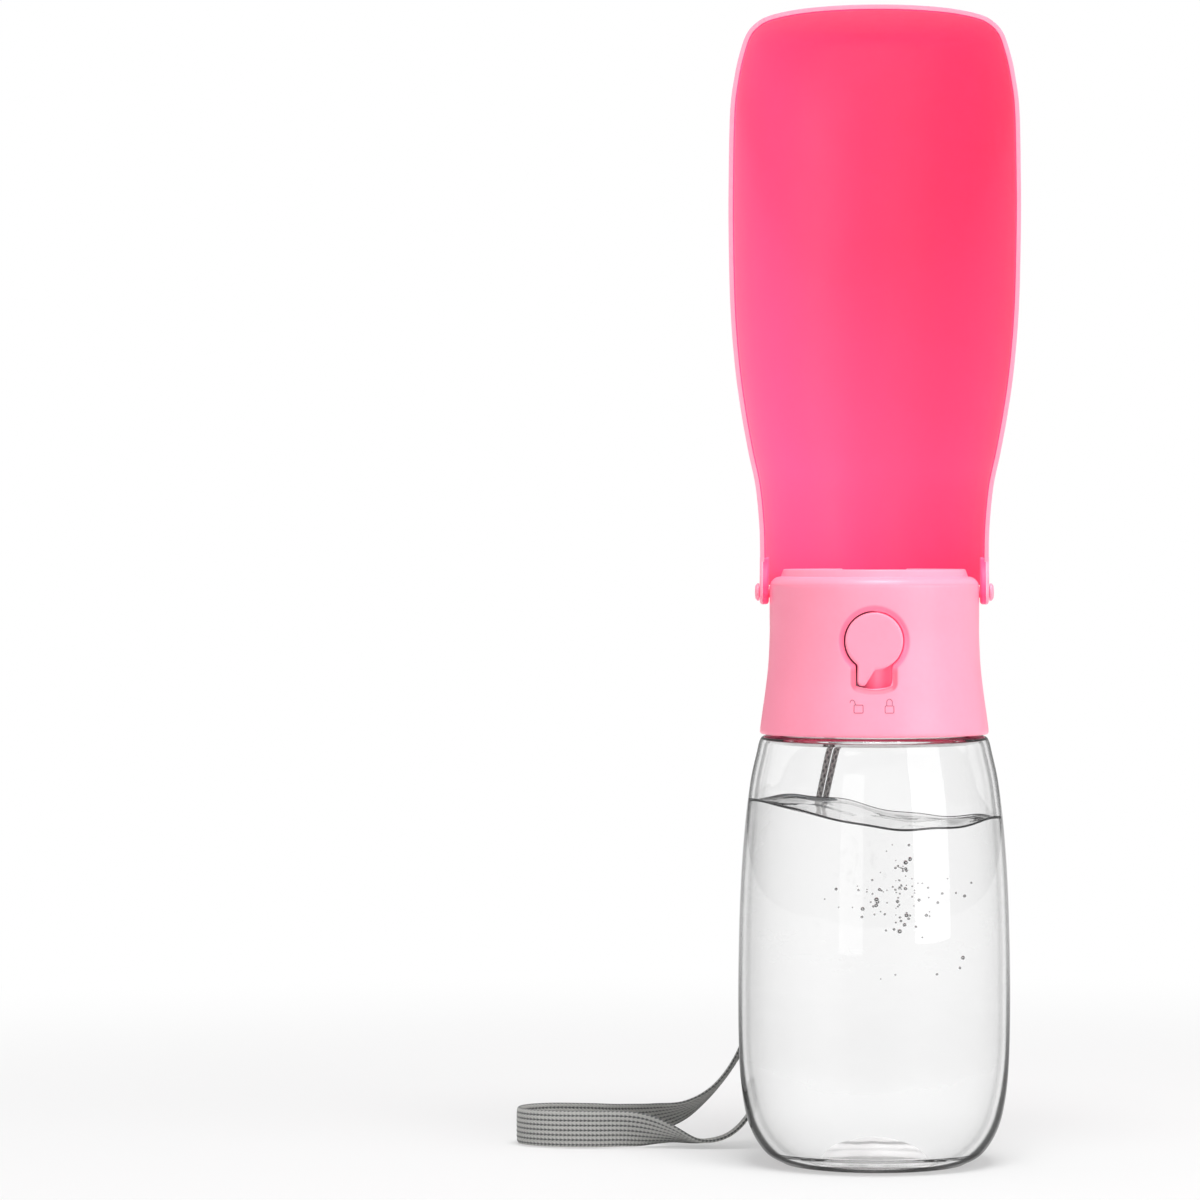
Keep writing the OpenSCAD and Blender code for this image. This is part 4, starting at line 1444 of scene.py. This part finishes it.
def inside_of_head(x, z):
    """The point on the front of the head's inner wall at (x, z)."""
    return (x, -math.sqrt(SHELL_IN_R ** 2 - x * x), z)


def head_columns():
    """The head's angles from the front: fine over the button's patch, coarser behind."""
    return (steps_between(-PATCH_TURN, PATCH_TURN, PATCH_COLUMNS)[:-1]
            + steps_between(PATCH_TURN, FULL_TURN - PATCH_TURN, BACK_COLUMNS)[:-1])


def patch_edge(rows):
    """The indices round a patch, from its lower left corner along the bottom to the right."""
    n, m = PATCH_COLUMNS, PATCH_ROWS
    return ([rows[0][i] for i in range(n)] + [rows[j][n] for j in range(m)]
            + [rows[m][i] for i in range(n, 0, -1)] + [rows[j][0] for j in range(m, 0, -1)])


def hole_turns():
    """Angles of the outline's points, as many on each side as the patch's edge has."""
    corners = [math.atan2(z - BUTTON_Z, x) for x, z in (
        (-PATCH_HALF, PATCH_LOW), (PATCH_HALF, PATCH_LOW), (PATCH_HALF, PATCH_HIGH),
        (-PATCH_HALF, PATCH_HIGH))]
    corners.append(corners[0] + FULL_TURN)
    turns = []
    for first, last, count in zip(corners, corners[1:], [PATCH_COLUMNS, PATCH_ROWS] * 2):
        turns += even_turns(hole_reach, 0.3, first, last, count)
    return turns


class HeadSkin(Skin):
    """The head's shell: a turned wall whose front holds the well of the button."""

    def outline(self, grow):
        """(x, z) points of the hole's outline offset by grow."""
        return [(hole_reach(t, grow) * math.cos(t), BUTTON_Z + hole_reach(t, grow) * math.sin(t))
                for t in self.turns]

    def build(self):
        """Makes the whole closed shell."""
        self.turns = hole_turns()
        columns = head_columns()
        outer, outer_first = self.outer_profile()
        inner = [(SHELL_IN_R + 0.2, HEAD_TOP), (SHELL_IN_R, HEAD_TOP - 0.2)]
        inner_first = len(outer) + len(inner)
        inner += [(SHELL_IN_R, z) for z in steps_between(PATCH_HIGH, 127.2, PATCH_ROWS)]
        inner += [(FEMALE_R, 127), (FEMALE_R, 122), (FEMALE_R, HEAD_BOTTOM + 0.6)]
        rings = [self.ring([about_axis(r, a, z) for a in columns], z) for r, z in outer + inner]
        for k, (a, b) in enumerate(zip(rings, rings[1:] + rings[:1])):
            pierced = any(first <= k < first + PATCH_ROWS for first in (outer_first, inner_first))
            self.join(a, b, PATCH_COLUMNS if pierced else 0)
        inner_rows = rings[inner_first:inner_first + PATCH_ROWS + 1][::-1]
        self.join_well(patch_edge(rings[outer_first:]), patch_edge(inner_rows))

    @staticmethod
    def outer_profile():
        """The shell's outside, from its lower edge to its seam, and its patch's first row."""
        outer = [(FEMALE_R + 0.6, HEAD_BOTTOM), (30.1, HEAD_BOTTOM), (30.5, HEAD_BOTTOM + 0.1),
                 (30.72, HEAD_BOTTOM + 0.32)]
        outer += [(head_radius(z), z)
                  for z in steps_between(HEAD_BOTTOM + 0.6, PATCH_LOW, 14)[:-1]]
        first = len(outer)
        outer += [(head_radius(z), z) for z in steps_between(PATCH_LOW, PATCH_HIGH, PATCH_ROWS)]
        outer += [shoulder_point(math.radians(a)) for a in (0, 6, 12)]
        return [*outer, shoulder_point(SEAM_TURN), (27.4, HEAD_TOP)], first

    def dish_steps(self, face_rim):
        """Rings from the patch's edge, over the soft dish round the hole, to its lip."""
        rim = [self.points[i] for i in face_rim]
        edge = self.outline(DISH_REACH)
        steps = [[front_of_head(mix(x, p[0], share), mix(z, p[2], share))
                  for (x, z), p in zip(edge, rim)]
                 for share in [(k / 10) ** 1.3 for k in range(9, 0, -1)]]
        for grow in DISH_RINGS:
            depth = DISH_DEPTH * (1 - smooth_step(0.1, DISH_REACH, grow))
            round_part = max(0.0, 1 - grow / EDGE_ROUND)
            depth += EDGE_ROUND * (1 - math.sqrt(1 - round_part ** 2))
            steps.append([front_of_head(x, z, -depth) for x, z in self.outline(grow)])
        return steps

    @staticmethod
    def plate_steps(first, last, y, shares):
        """Flat rings at y, at some shares of the way from one outline to another."""
        return [[(mix(p[0], q[0], share), y, mix(p[1], q[1], share))
                 for p, q in zip(first, last)] for share in shares]

    def join_well(self, face_rim, back_rim):
        """Joins the outer patch, the well's walls and floor, and the inner patch."""
        steps = [face_rim, *self.dish_steps(face_rim)]
        lip = steps[-1]
        steps += [[(x, mix(y, WELL_FLOOR_Y - 0.4, share), z) for x, y, z in lip]
                  for share in (0.4, 0.8)]
        steps += [[(x, WELL_FLOOR_Y - rise, z) for x, z in self.outline(grow)]
                  for grow, rise in ((0.0, 0.4), (-0.05, 0.18), (-0.18, 0.05), (-0.4, 0.0))]
        sleeve = [(SLEEVE_R * math.cos(t), BUTTON_Z + SLEEVE_R * math.sin(t))
                  for t in self.turns]
        block = self.outline(0.8)
        back_y = WELL_FLOOR_Y + WELL_FLOOR_T
        steps += self.plate_steps(self.outline(-0.4), sleeve, WELL_FLOOR_Y, (0.35, 0.7, 1.0))
        steps += self.plate_steps(sleeve, block, back_y, (0.0, 0.5, 1.0))
        inside = [inside_of_head(x, z) for x, z in block]
        steps += [[(x, mix(back_y, y, 0.5), z) for x, y, z in inside], inside]
        back = [self.points[i] for i in back_rim]
        steps += [[inside_of_head(mix(p[0], q[0], share), mix(p[2], q[2], share))
                   for p, q in zip(inside, back)] for share in (0.33, 0.66)]
        self.loft([*steps, back_rim])

    def add_skirt(self):
        """The ring behind the well that the lock sleeve's keeper snaps into."""
        corner_y = SKIRT_BACK_Y - 0.3
        lathe(self, [(9.9, SKIRT_FRONT_Y), (9.9, corner_y), (9.6, SKIRT_BACK_Y),
                     (8.8, SKIRT_BACK_Y), (8.5, corner_y), (8.5, SKIRT_FRONT_Y)],
              72, about_button)

    def add_bosses(self):
        """The thick bosses that hold the hinge pins."""
        for side in (-1, 1):
            lathe(self, [(0, BOSS_IN_X), (BOSS_R - 0.25, BOSS_IN_X), (BOSS_R, BOSS_IN_X + 0.3),
                         (BOSS_R, BOSS_OUT_X), (0, BOSS_OUT_X)], 32, about_hinge(side))

    def add_lug(self):
        """The bridge on the back that the cord goes round, with round corners."""
        plan = rounded([(27.0, LUG_LOW, 0), (LUG_Y, LUG_LOW, 1.4), (LUG_Y, LUG_HIGH, 1.4),
                        (27.0, LUG_HIGH, 0)], 7)
        line = [(0.0, y, z) for y, z in plan]
        across = Vector((1, 0, 0))

        def section(i):
            out = heading(line, i).cross(across)
            foot = 0.5 * smooth_step(LUG_FOOT_Y, HEAD_R - 0.2, line[i][1])
            ring = []
            for a in turn_angles(28):
                c, s = math.cos(a), math.sin(a)
                ring.append(Vector(line[i])
                            + across * (1.1 + foot) * math.copysign(abs(c) ** 0.55, c)
                            + out * (0.95 + foot * 0.6) * math.copysign(abs(s) ** 0.55, s))
            return ring

        self.tube(line, section)

    def add_back_bar(self):
        """The low bar on the back that the open trough rests against."""
        rows = [(3.85, 1.15, 1.1, -0.5), (3.85, 1.15, 1.1, 0.45), (3.78, 1.08, 1.02, 0.66),
                (3.6, 0.9, 0.85, 0.78), (3.3, 0.6, 0.55, 0.82)]
        made = self.loft([[(x, math.sqrt((HEAD_R + out) ** 2 - x * x), BACK_BAR_Z + z)
                           for x, z in rounded_rectangle(a, b, r)] for a, b, r, out in rows])
        self.cap(made[0])
        self.cap(made[-1], (0, HEAD_R + 0.83, BACK_BAR_Z))


def icon_lines():
    """(x, z) lines of the two padlocks: the open one on the left, the shut one on the right."""
    def box(x, z, w, h):
        ring = [(x + px, z + pz) for px, pz in rounded_rectangle(w / 2, h / 2, 0.25, 3)]
        return ring + ring[:2]

    def arch(x, z, r, first, last):
        return [(x + r * math.cos(math.radians(a)), z + r * 1.15 * math.sin(math.radians(a)))
                for a in range(first, last + 1, 15)]

    shackle = [(3.3, 124.1), (3.3, 125.0), *arch(4.05, 125.0, 0.75, 0, 180)[::-1][1:],
               (4.8, 124.1)]
    swung = [(-4.95, 124.35), (-5.05, 124.9), (-5.35, 125.45), (-5.85, 125.6),
             (-6.25, 125.3), (-6.35, 124.85)]
    return [box(4.05, 123.15, 2.3, 1.9), shackle, box(-4.1, 123.25, 2.4, 2.1),
            through(swung, 4)]


class BOTTLE_OT_head(bpy.types.Operator):
    """Makes the head's shell with its button well, strap lug, thread and padlock icons"""

    bl_idname = "bottle.head"
    bl_label = "Head shell"

    def execute(self, context):
        skin = HeadSkin()
        skin.build()
        skin.add_skirt()
        skin.add_bosses()
        skin.add_lug()
        skin.add_back_bar()
        skin.show("head_shell_moulding", 50, "head_pink", "head", "light_pink", ["head_shell"])
        thread = helix_ridge("head_thread", "light_pink", FEMALE_R - 0.1,
                             THREAD_LOW + THREAD_PITCH / 2, 0.8)
        show("head_thread", thread, "light_pink", "head")
        self.make_icons(context.scene.bottle_sizes.icon_line / MM / 2)
        return {"FINISHED"}

    def make_icons(self, half_line):
        """The raised lines of the padlock icons."""
        skin = Skin()
        for plan in icon_lines():
            line = [front_of_head(x, z, 0.02) for x, z in plan]
            add_round_tube(skin, line, 8, lambda a, along: half_line)
        skin.show("lock_icons", 60, "icon_pink", "head", "light_pink")


class BOTTLE_OT_cover(bpy.types.Operator):
    """Makes the lid of the head with its ring, the nozzle and the hinge pins"""

    bl_idname = "bottle.cover"
    bl_label = "Top cover"

    def execute(self, context):
        self.cover().show("top_cover_moulding", 42, "light_pink", "head", "light_pink",
                          ["top_cover"])
        self.nozzle().show("outlet_nozzle", 42, "light_pink", "head", "light_pink",
                           ["outlet_spout"])
        for side, name in ((-1, "left"), (1, "right")):
            self.pin(side).show("hinge_pin_head_" + name, 42, "light_pink", "head",
                                "light_pink", ["hinge_pin_" + name])
        return {"FINISHED"}

    def cover(self):
        """The lid: a ring round a shallow dish, with a gap in the ring at the back."""
        angles = turn_angles(180)
        shoulder = [(*shoulder_point(math.radians(a)), 0) for a in range(81, 20, -5)]
        rim = rounded([(LID_DISH_R, LID_DISH_Z, 0), (23.3, LID_DISH_Z, 0.6),
                       (23.35, RING_TOP, 0.5), (RING_R - 0.7, RING_TOP, 0.6),
                       (RING_R, COVER_TOP - 0.02, 0.25), *shoulder,
                       (shoulder_point(SEAM_TURN)[0], SEAM_Z, 0), (27.6, SEAM_Z, 0),
                       (SHELL_IN_R - 0.02, SEAM_Z, 0), (SHELL_IN_R - 0.02, LID_FOOT_Z, 0.3),
                       (RING_R, LID_FOOT_Z, 0.3), (RING_R, LID_UNDER_Z, 0),
                       (22, LID_UNDER_Z, 0)], 6)

        def place(r, z, a):
            whole = smooth_step(RING_CUT_TURN, RING_CUT_END, abs(a - math.pi))
            top = RING_TOP - RING_CUT * (1 - whole)
            return about_axis(r, a, min(z, top) if r < RING_R + 0.8 else z)

        def dish(share, z):
            reach = mix(SPOUT_R + 0.06, LID_DISH_R, share)
            return [(x, y - SPOUT_Y * share, z) for x, y, _ in
                    [about_spout(reach, a, z) for a in angles]]

        floor = [dish(share, LID_DISH_Z) for share in steps_between(0, 1, 6)[:-1]]
        rings = [[place(r, z, a) for a in angles] for r, z in rim]
        under = [dish(1 - share, LID_UNDER_Z) for share in steps_between(0, 1, 3)[1:]]
        skin = Skin()
        skin.loft([*floor, *rings, *under], loop=True)
        return skin

    def nozzle(self):
        """The nozzle's round-lipped tube, which goes down into the valve."""
        foot_r = SPOUT_R - 0.62
        lip_z = COVER_TOP + 0.4
        return turned(rounded([(SPOUT_BORE, SPOUT_LOW, 0), (SPOUT_BORE, lip_z, 0.35),
                               (SPOUT_R, lip_z, 0.4), (SPOUT_R, SPOUT_LOW + 1.5, 0.2),
                               (foot_r, SPOUT_LOW + 1.4, 0.1), (foot_r, SPOUT_LOW, 0)]),
                      72, about_spout)

    def pin(self, side):
        """A hinge pin with a domed head."""
        x = PIN_HEAD_X
        return turned(rounded([(0, PIN_IN_X, 0), (PIN_R, PIN_IN_X, 0.3), (PIN_R, x, 0.05),
                               (PIN_HEAD_R, x, 0.2), (PIN_HEAD_R, x + 0.55, 0.3),
                               (1.7, x + 1.1, 0.6), (0, x + 1.2, 0)]), 56, about_hinge(side))


class BOTTLE_OT_button(bpy.types.Operator):
    """Makes the button's face with its pointer"""

    bl_idname = "bottle.button"
    bl_label = "Button"

    def execute(self, context):
        turns = even_turns(cap_reach, 0.0, math.pi / 2, math.pi / 2 + FULL_TURN, 220)
        skin = Skin()

        def outline(grow, y, share=1.0):
            reaches = [cap_reach(t, grow) * share for t in turns]
            return [(r * math.cos(t), y, BUTTON_Z + r * math.sin(t))
                    for r, t in zip(reaches, turns)]

        front = [outline(-0.75, BUTTON_Y - 0.06 * (1 - s * s), s) for s in (0.3, 0.6, 0.8, 0.93)]
        front += [outline(grow, BUTTON_Y + back) for grow, back in (
            (-0.75, 0.0), (-0.55, 0.03), (-0.38, 0.09), (-0.22, 0.2), (-0.1, 0.34),
            (-0.03, 0.52), (0.0, 0.75), (0.0, BUTTON_T - 0.15), (-0.15, BUTTON_T))]
        rings = skin.loft(front)
        skin.cap(rings[0], (0, BUTTON_Y - 0.06, BUTTON_Z))
        back = skin.loft([rings[-1], outline(-0.15, BUTTON_Y + BUTTON_T, 0.4)])
        skin.cap(back[-1])
        skin.show("button_face", 45, "light_pink", "button", "light_pink", ["button_cap"])
        return {"FINISHED"}


class BOTTLE_OT_valve(bpy.types.Operator):
    """Finishes the hidden valve, its seals and the plug, and winds the button's spring"""

    bl_idname = "bottle.valve"
    bl_label = "Valve"

    COATS = {"valve_plastic": ("valve_housing", "sleeve_ring", "lock_sleeve", "button_stem"),
             "silicone": ("neck_gasket", "plug_ring", "valve_seat", "vent_valve", "stem_seal",
                          "valve_plug"),
             "deep_pink": ("plug_cup",)}

    def execute(self, context):
        for finish, nodes in self.COATS.items():
            for node in nodes:
                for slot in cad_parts[node].material_slots:
                    slot.link = "OBJECT"
                    slot.material = finishes.get(finish)
        self.wind_spring()
        return {"FINISHED"}

    def wind_spring(self):
        """The button's compression spring."""
        low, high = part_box("button_spring")
        wire = SPRING_WIRE * MM
        shape = Shape("button_coil", {"Material": finishes.get("spring_steel"), "Wire": wire,
                                      "Turns": SPRING_TURNS,
                                      "Radius": (high.x - low.x) / 2 - wire,
                                      "Length": high.y - low.y - 2 * wire})
        line = shape.coil(shape.get("Radius"), shape.get("Length"), shape.get("Turns"), 32)
        tube = shape.moved(shape.rod(line, shape.get("Wire"), 8),
                           (0.0, low.y + wire, BUTTON_Z * MM), (-math.pi / 2, 0.0, 0.0))
        mesh = shape.made(tube, "button_coil")
        mesh.shade_smooth()
        coil = show("button_coil", mesh, "spring_steel", "head",
                    ["button_spring"])
        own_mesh(coil)


# ---- trough -----------------------------------------------------------------------------
def half_turned(skin, outer, inner, rim):
    """Adds half of a turned wall, behind the plane y = rim, between two curves that end on
    the axis. Both edges and the lower end are closed."""
    columns = TROUGH_COLUMNS

    def arc(r, z):
        start = math.asin(min(0.98, rim / r)) if r > 1e-6 else 0.0
        return [(r * math.cos(a), r * math.sin(a), HINGE_Z + z)
                for a in steps_between(start, math.pi - start, columns)]

    rings = [skin.ring(arc(ro, zo) + arc(ri, zi)[::-1], zo)
             for (ro, zo), (ri, zi) in zip(outer[:-1], inner[:-1])]
    for a, b in zip(rings, rings[1:]):
        skin.join(a, b)
    half = columns + 1
    lowest, last = rings[0], rings[-1]
    for k in range(columns):
        skin.face((lowest[k], lowest[k + 1], lowest[-2 - k], lowest[-1 - k]))
    tip = skin.ring([(0, rim, HINGE_Z + outer[-1][1]), (0, rim, HINGE_Z + inner[-1][1])],
                    outer[-1][1])
    for k in range(columns):
        skin.face((last[k], last[k + 1], tip[0]))
        skin.face((last[half + k], last[half + k + 1], tip[1]))
    skin.face((last[0], tip[0], tip[1], last[-1]))
    skin.face((last[half - 1], tip[0], tip[1], last[half]))


def ear_plan(grow):
    """(y, z) outline of an ear: round below the hinge and blended into the wall above it."""
    r = EAR_R + grow
    ring = [(r * math.cos(a), HINGE_Z + r * math.sin(a))
            for a in steps_between(math.pi, FULL_TURN, 24)]
    ring += [(r, HINGE_Z + 4), (r - 0.2, HINGE_Z + 7.5), (r - 1.2, HINGE_Z + 9),
             (0.6, HINGE_Z + 9.4)]
    return ring + [(mix(0.1, -r, smooth_step(0, 1, t)) - grow * 0.2, HINGE_Z + mix(9.0, 0.6, t))
                   for t in steps_between(0, 1, 14)[:-1]]


# The round edge of an ear: how deep each ring lies and how far it is drawn in.
EAR_ROUND = ((0.0, -0.85), (0.04, -0.6), (0.15, -0.34), (0.34, -0.14), (0.6, -0.03), (0.85, 0.0))


def add_ear(skin, side, flat, edge, grow):
    """Adds an ear's plate from its flat side to its side with a round edge."""
    way = math.copysign(1, flat - edge)
    steps = [(edge + way * deep, back) for deep, back in EAR_ROUND] + [(flat, 0.0)]
    made = skin.loft([[(side * x, y, z) for y, z in ear_plan(grow + back)]
                      for x, back in steps])
    for ring, x in ((made[0], edge), (made[-1], flat)):
        skin.cap(ring, (side * x, 0, HINGE_Z + 1))


class BOTTLE_OT_trough(bpy.types.Operator):
    """Makes the trough with its ears, and its deeper inside skin"""

    bl_idname = "bottle.trough"
    bl_label = "Trough"

    def execute(self, context):
        wall = context.scene.bottle_sizes.trough_wall / MM
        line = spline(TROUGH_STATIONS, 7)
        self.make_layer("trough_shell", (line, inset(line, RIM_WIDTH), 0.0),
                        (EAR_FLAT_X, EAR_OUT_X, 0.0), (0.4, 3), "light_pink", "trough")
        self.make_layer("trough_lining",
                        (inset(line, RIM_WIDTH - 0.02), inset(line, wall), 0.3),
                        (LINING_FLAT_X, EAR_IN_X, -0.03), (0.12, 2), "deep_pink",
                        "trough_liner")
        return {"FINISHED"}

    @staticmethod
    def make_layer(name, half, ear, soft_edge, finish, node):
        """One layer of the trough, with its two ears and soft edges."""
        skin = Skin()
        half_turned(skin, *half)
        for side in (-1, 1):
            add_ear(skin, side, *ear)
        show(name, bevelled(skin.mesh(name, 50), *soft_edge), finish, "trough", [node])


# ---- stage ------------------------------------------------------------------------------
CAMERA_PLACE = (0.0, -1.35, 0.168)
CAMERA_LENS = 150.0
CAMERA_YAW = math.radians(3.14)
CAMERA_PITCH = math.radians(0.695)
FLOOR_HALF = 4.0
FLOOR_LIT = 0.16
FLOOR_WHITE = 0.6
FLOOR_LIFT = 0.45
WORLD_GLOSS = 0.35
WORLD_AMBIENT = 0.385
WORLD_OVERHEAD = 0.55
WHITE = (1.0, 1.0, 1.0, 1.0)
LAMP_AIM = (0, 0, 0.17)
# The place and size of each lamp, in metres, and its power in watts. The reflector lights
# only gloss.
REFLECTOR = "ReflectorFront"
LAMPS = {"SoftboxLeft": ((-1.11, -1.19, 0.5), (0.9, 1.1), 0.15),
         "SoftboxRight": ((1.26, -1.02, 0.5), (1.0, 1.1), 8.8),
         "SoftboxTop": ((0.1, -0.35, 1.4), (0.6, 0.45), 13.5),
         REFLECTOR: ((-0.42, -1.2, 0.3), (0.45, 0.6), 1.2)}


class BOTTLE_OT_stage(bpy.types.Operator):
    """Makes the camera, the pale floor, the softboxes and the pale surroundings"""

    bl_idname = "bottle.stage"
    bl_label = "Stage"

    def execute(self, context):
        scene = context.scene
        scene.view_settings.view_transform = "Standard"
        self.make_camera(scene)
        self.make_floor()
        self.make_world(scene)
        for name, (place, size, power) in LAMPS.items():
            self.make_lamp(name, place, size, power)
        return {"FINISHED"}

    def make_camera(self, scene):
        """A long lens in front of the object, level with its middle."""
        camera = new_object("Camera", bpy.data.cameras.new("Camera"))
        camera.data.lens = CAMERA_LENS
        camera.data.sensor_width = 36.0
        camera.location = CAMERA_PLACE
        camera.rotation_euler = (math.pi / 2 - CAMERA_PITCH, 0.0, CAMERA_YAW)
        scene.camera = camera

    def make_floor(self):
        """Pale paper that is white where the camera sees it, away from the object's shadow."""
        half = FLOOR_HALF
        mesh = bpy.data.meshes.new("Floor")
        drop = -0.02 * MM
        mesh.from_pydata([(-half, -half, drop), (half, -half, drop), (half, half, drop),
                          (-half, half, drop)], [], [(0, 1, 2, 3)])
        floor = new_object("Floor", mesh)
        white = Finish("FloorPaper", (0.9, 0.9, 0.9), 0.9, {"Specular IOR Level": 0.0})
        away = white.node("ShaderNodeVectorMath", {"operation": "LENGTH"}, {0: white.place})
        far = Value(white, away.outputs["Value"]).between(FLOOR_LIT, FLOOR_WHITE)
        camera, glossy, clear = white.rays("Camera", "Glossy", "Transmission")
        direct = camera.most(glossy).most(clear)
        glow = white.node("ShaderNodeEmission", None, {"Color": WHITE})
        lit = white.node("ShaderNodeMixShader", None,
                         {0: direct * (far * (1 - FLOOR_LIFT) + FLOOR_LIFT),
                          1: white.shader.outputs[0], 2: glow.outputs[0]})
        white.feed(white.output.inputs["Surface"], lit.outputs[0])
        mesh.materials.append(white.material)

    def make_world(self, scene):
        """White behind the object, dimmer overhead as seen through clear pieces."""
        scene.world = bpy.data.worlds.new("Surroundings")
        scene.world.use_nodes = True
        graph = Graph(scene.world.node_tree)
        graph.tree.nodes.clear()
        way = graph.node("ShaderNodeTexCoord").outputs["Generated"]
        overhead = graph.part(way, "Z").between(0.3, 0.8)
        camera, glossy, clear = graph.rays("Camera", "Glossy", "Transmission")
        plain = glossy * (WORLD_GLOSS - WORLD_AMBIENT) + WORLD_AMBIENT
        strength = camera.most(clear * (1 - overhead * WORLD_OVERHEAD)).most(plain * (1 - clear))
        back = graph.node("ShaderNodeBackground", None, {"Color": WHITE, "Strength": strength})
        graph.node("ShaderNodeOutputWorld", None, {"Surface": back.outputs[0]})

    def make_lamp(self, name, place, size, power):
        """A soft lamp that isn't seen through clear pieces."""
        light = bpy.data.lights.new(name, "AREA")
        light.shape = "RECTANGLE"
        light.size, light.size_y = size
        light.energy = power
        lamp = new_object(name, light)
        lamp.location = place
        lamp.visible_transmission = False
        lamp.visible_diffuse = name != REFLECTOR
        aim = Vector(LAMP_AIM) - Vector(place)
        lamp.rotation_euler = aim.to_track_quat("-Z", "Y").to_euler()


# ---- add-on -----------------------------------------------------------------------------
class BOTTLE_PT_panel(bpy.types.Panel):
    """Lists the bottle's pieces in the sidebar"""

    bl_idname = "BOTTLE_PT_panel"
    bl_label = "Water bottle"
    bl_space_type = "VIEW_3D"
    bl_region_type = "UI"
    bl_category = "Bottle"

    def draw(self, context):
        for step in STEPS:
            self.layout.operator(step.bl_idname)
        for group in (context.scene.bottle_sizes, context.scene.bottle_colours):
            box = self.layout.box()
            for key in group.__annotations__:
                box.prop(group, key)


STEPS = (BOTTLE_OT_stage, BOTTLE_OT_strap, BOTTLE_OT_bottle, BOTTLE_OT_water, BOTTLE_OT_head,
         BOTTLE_OT_cover, BOTTLE_OT_button, BOTTLE_OT_valve, BOTTLE_OT_trough)
CLASSES = (BottleSizes, BottleColours, *STEPS, BOTTLE_PT_panel)


def register():
    """Registers the classes and hangs the properties on the scene."""
    for kind in CLASSES:
        bpy.utils.register_class(kind)
    bpy.types.Scene.bottle_sizes = bpy.props.PointerProperty(type=BottleSizes)
    bpy.types.Scene.bottle_colours = bpy.props.PointerProperty(type=BottleColours)


def unregister():
    """Takes the properties and the classes away again."""
    del bpy.types.Scene.bottle_colours
    del bpy.types.Scene.bottle_sizes
    for kind in reversed(CLASSES):
        bpy.utils.unregister_class(kind)


def main():
    """Makes every piece in order."""
    register()
    for step in STEPS:
        group, name = step.bl_idname.split(".")
        getattr(getattr(bpy.ops, group), name)()


if __name__ == "__main__":
    main()
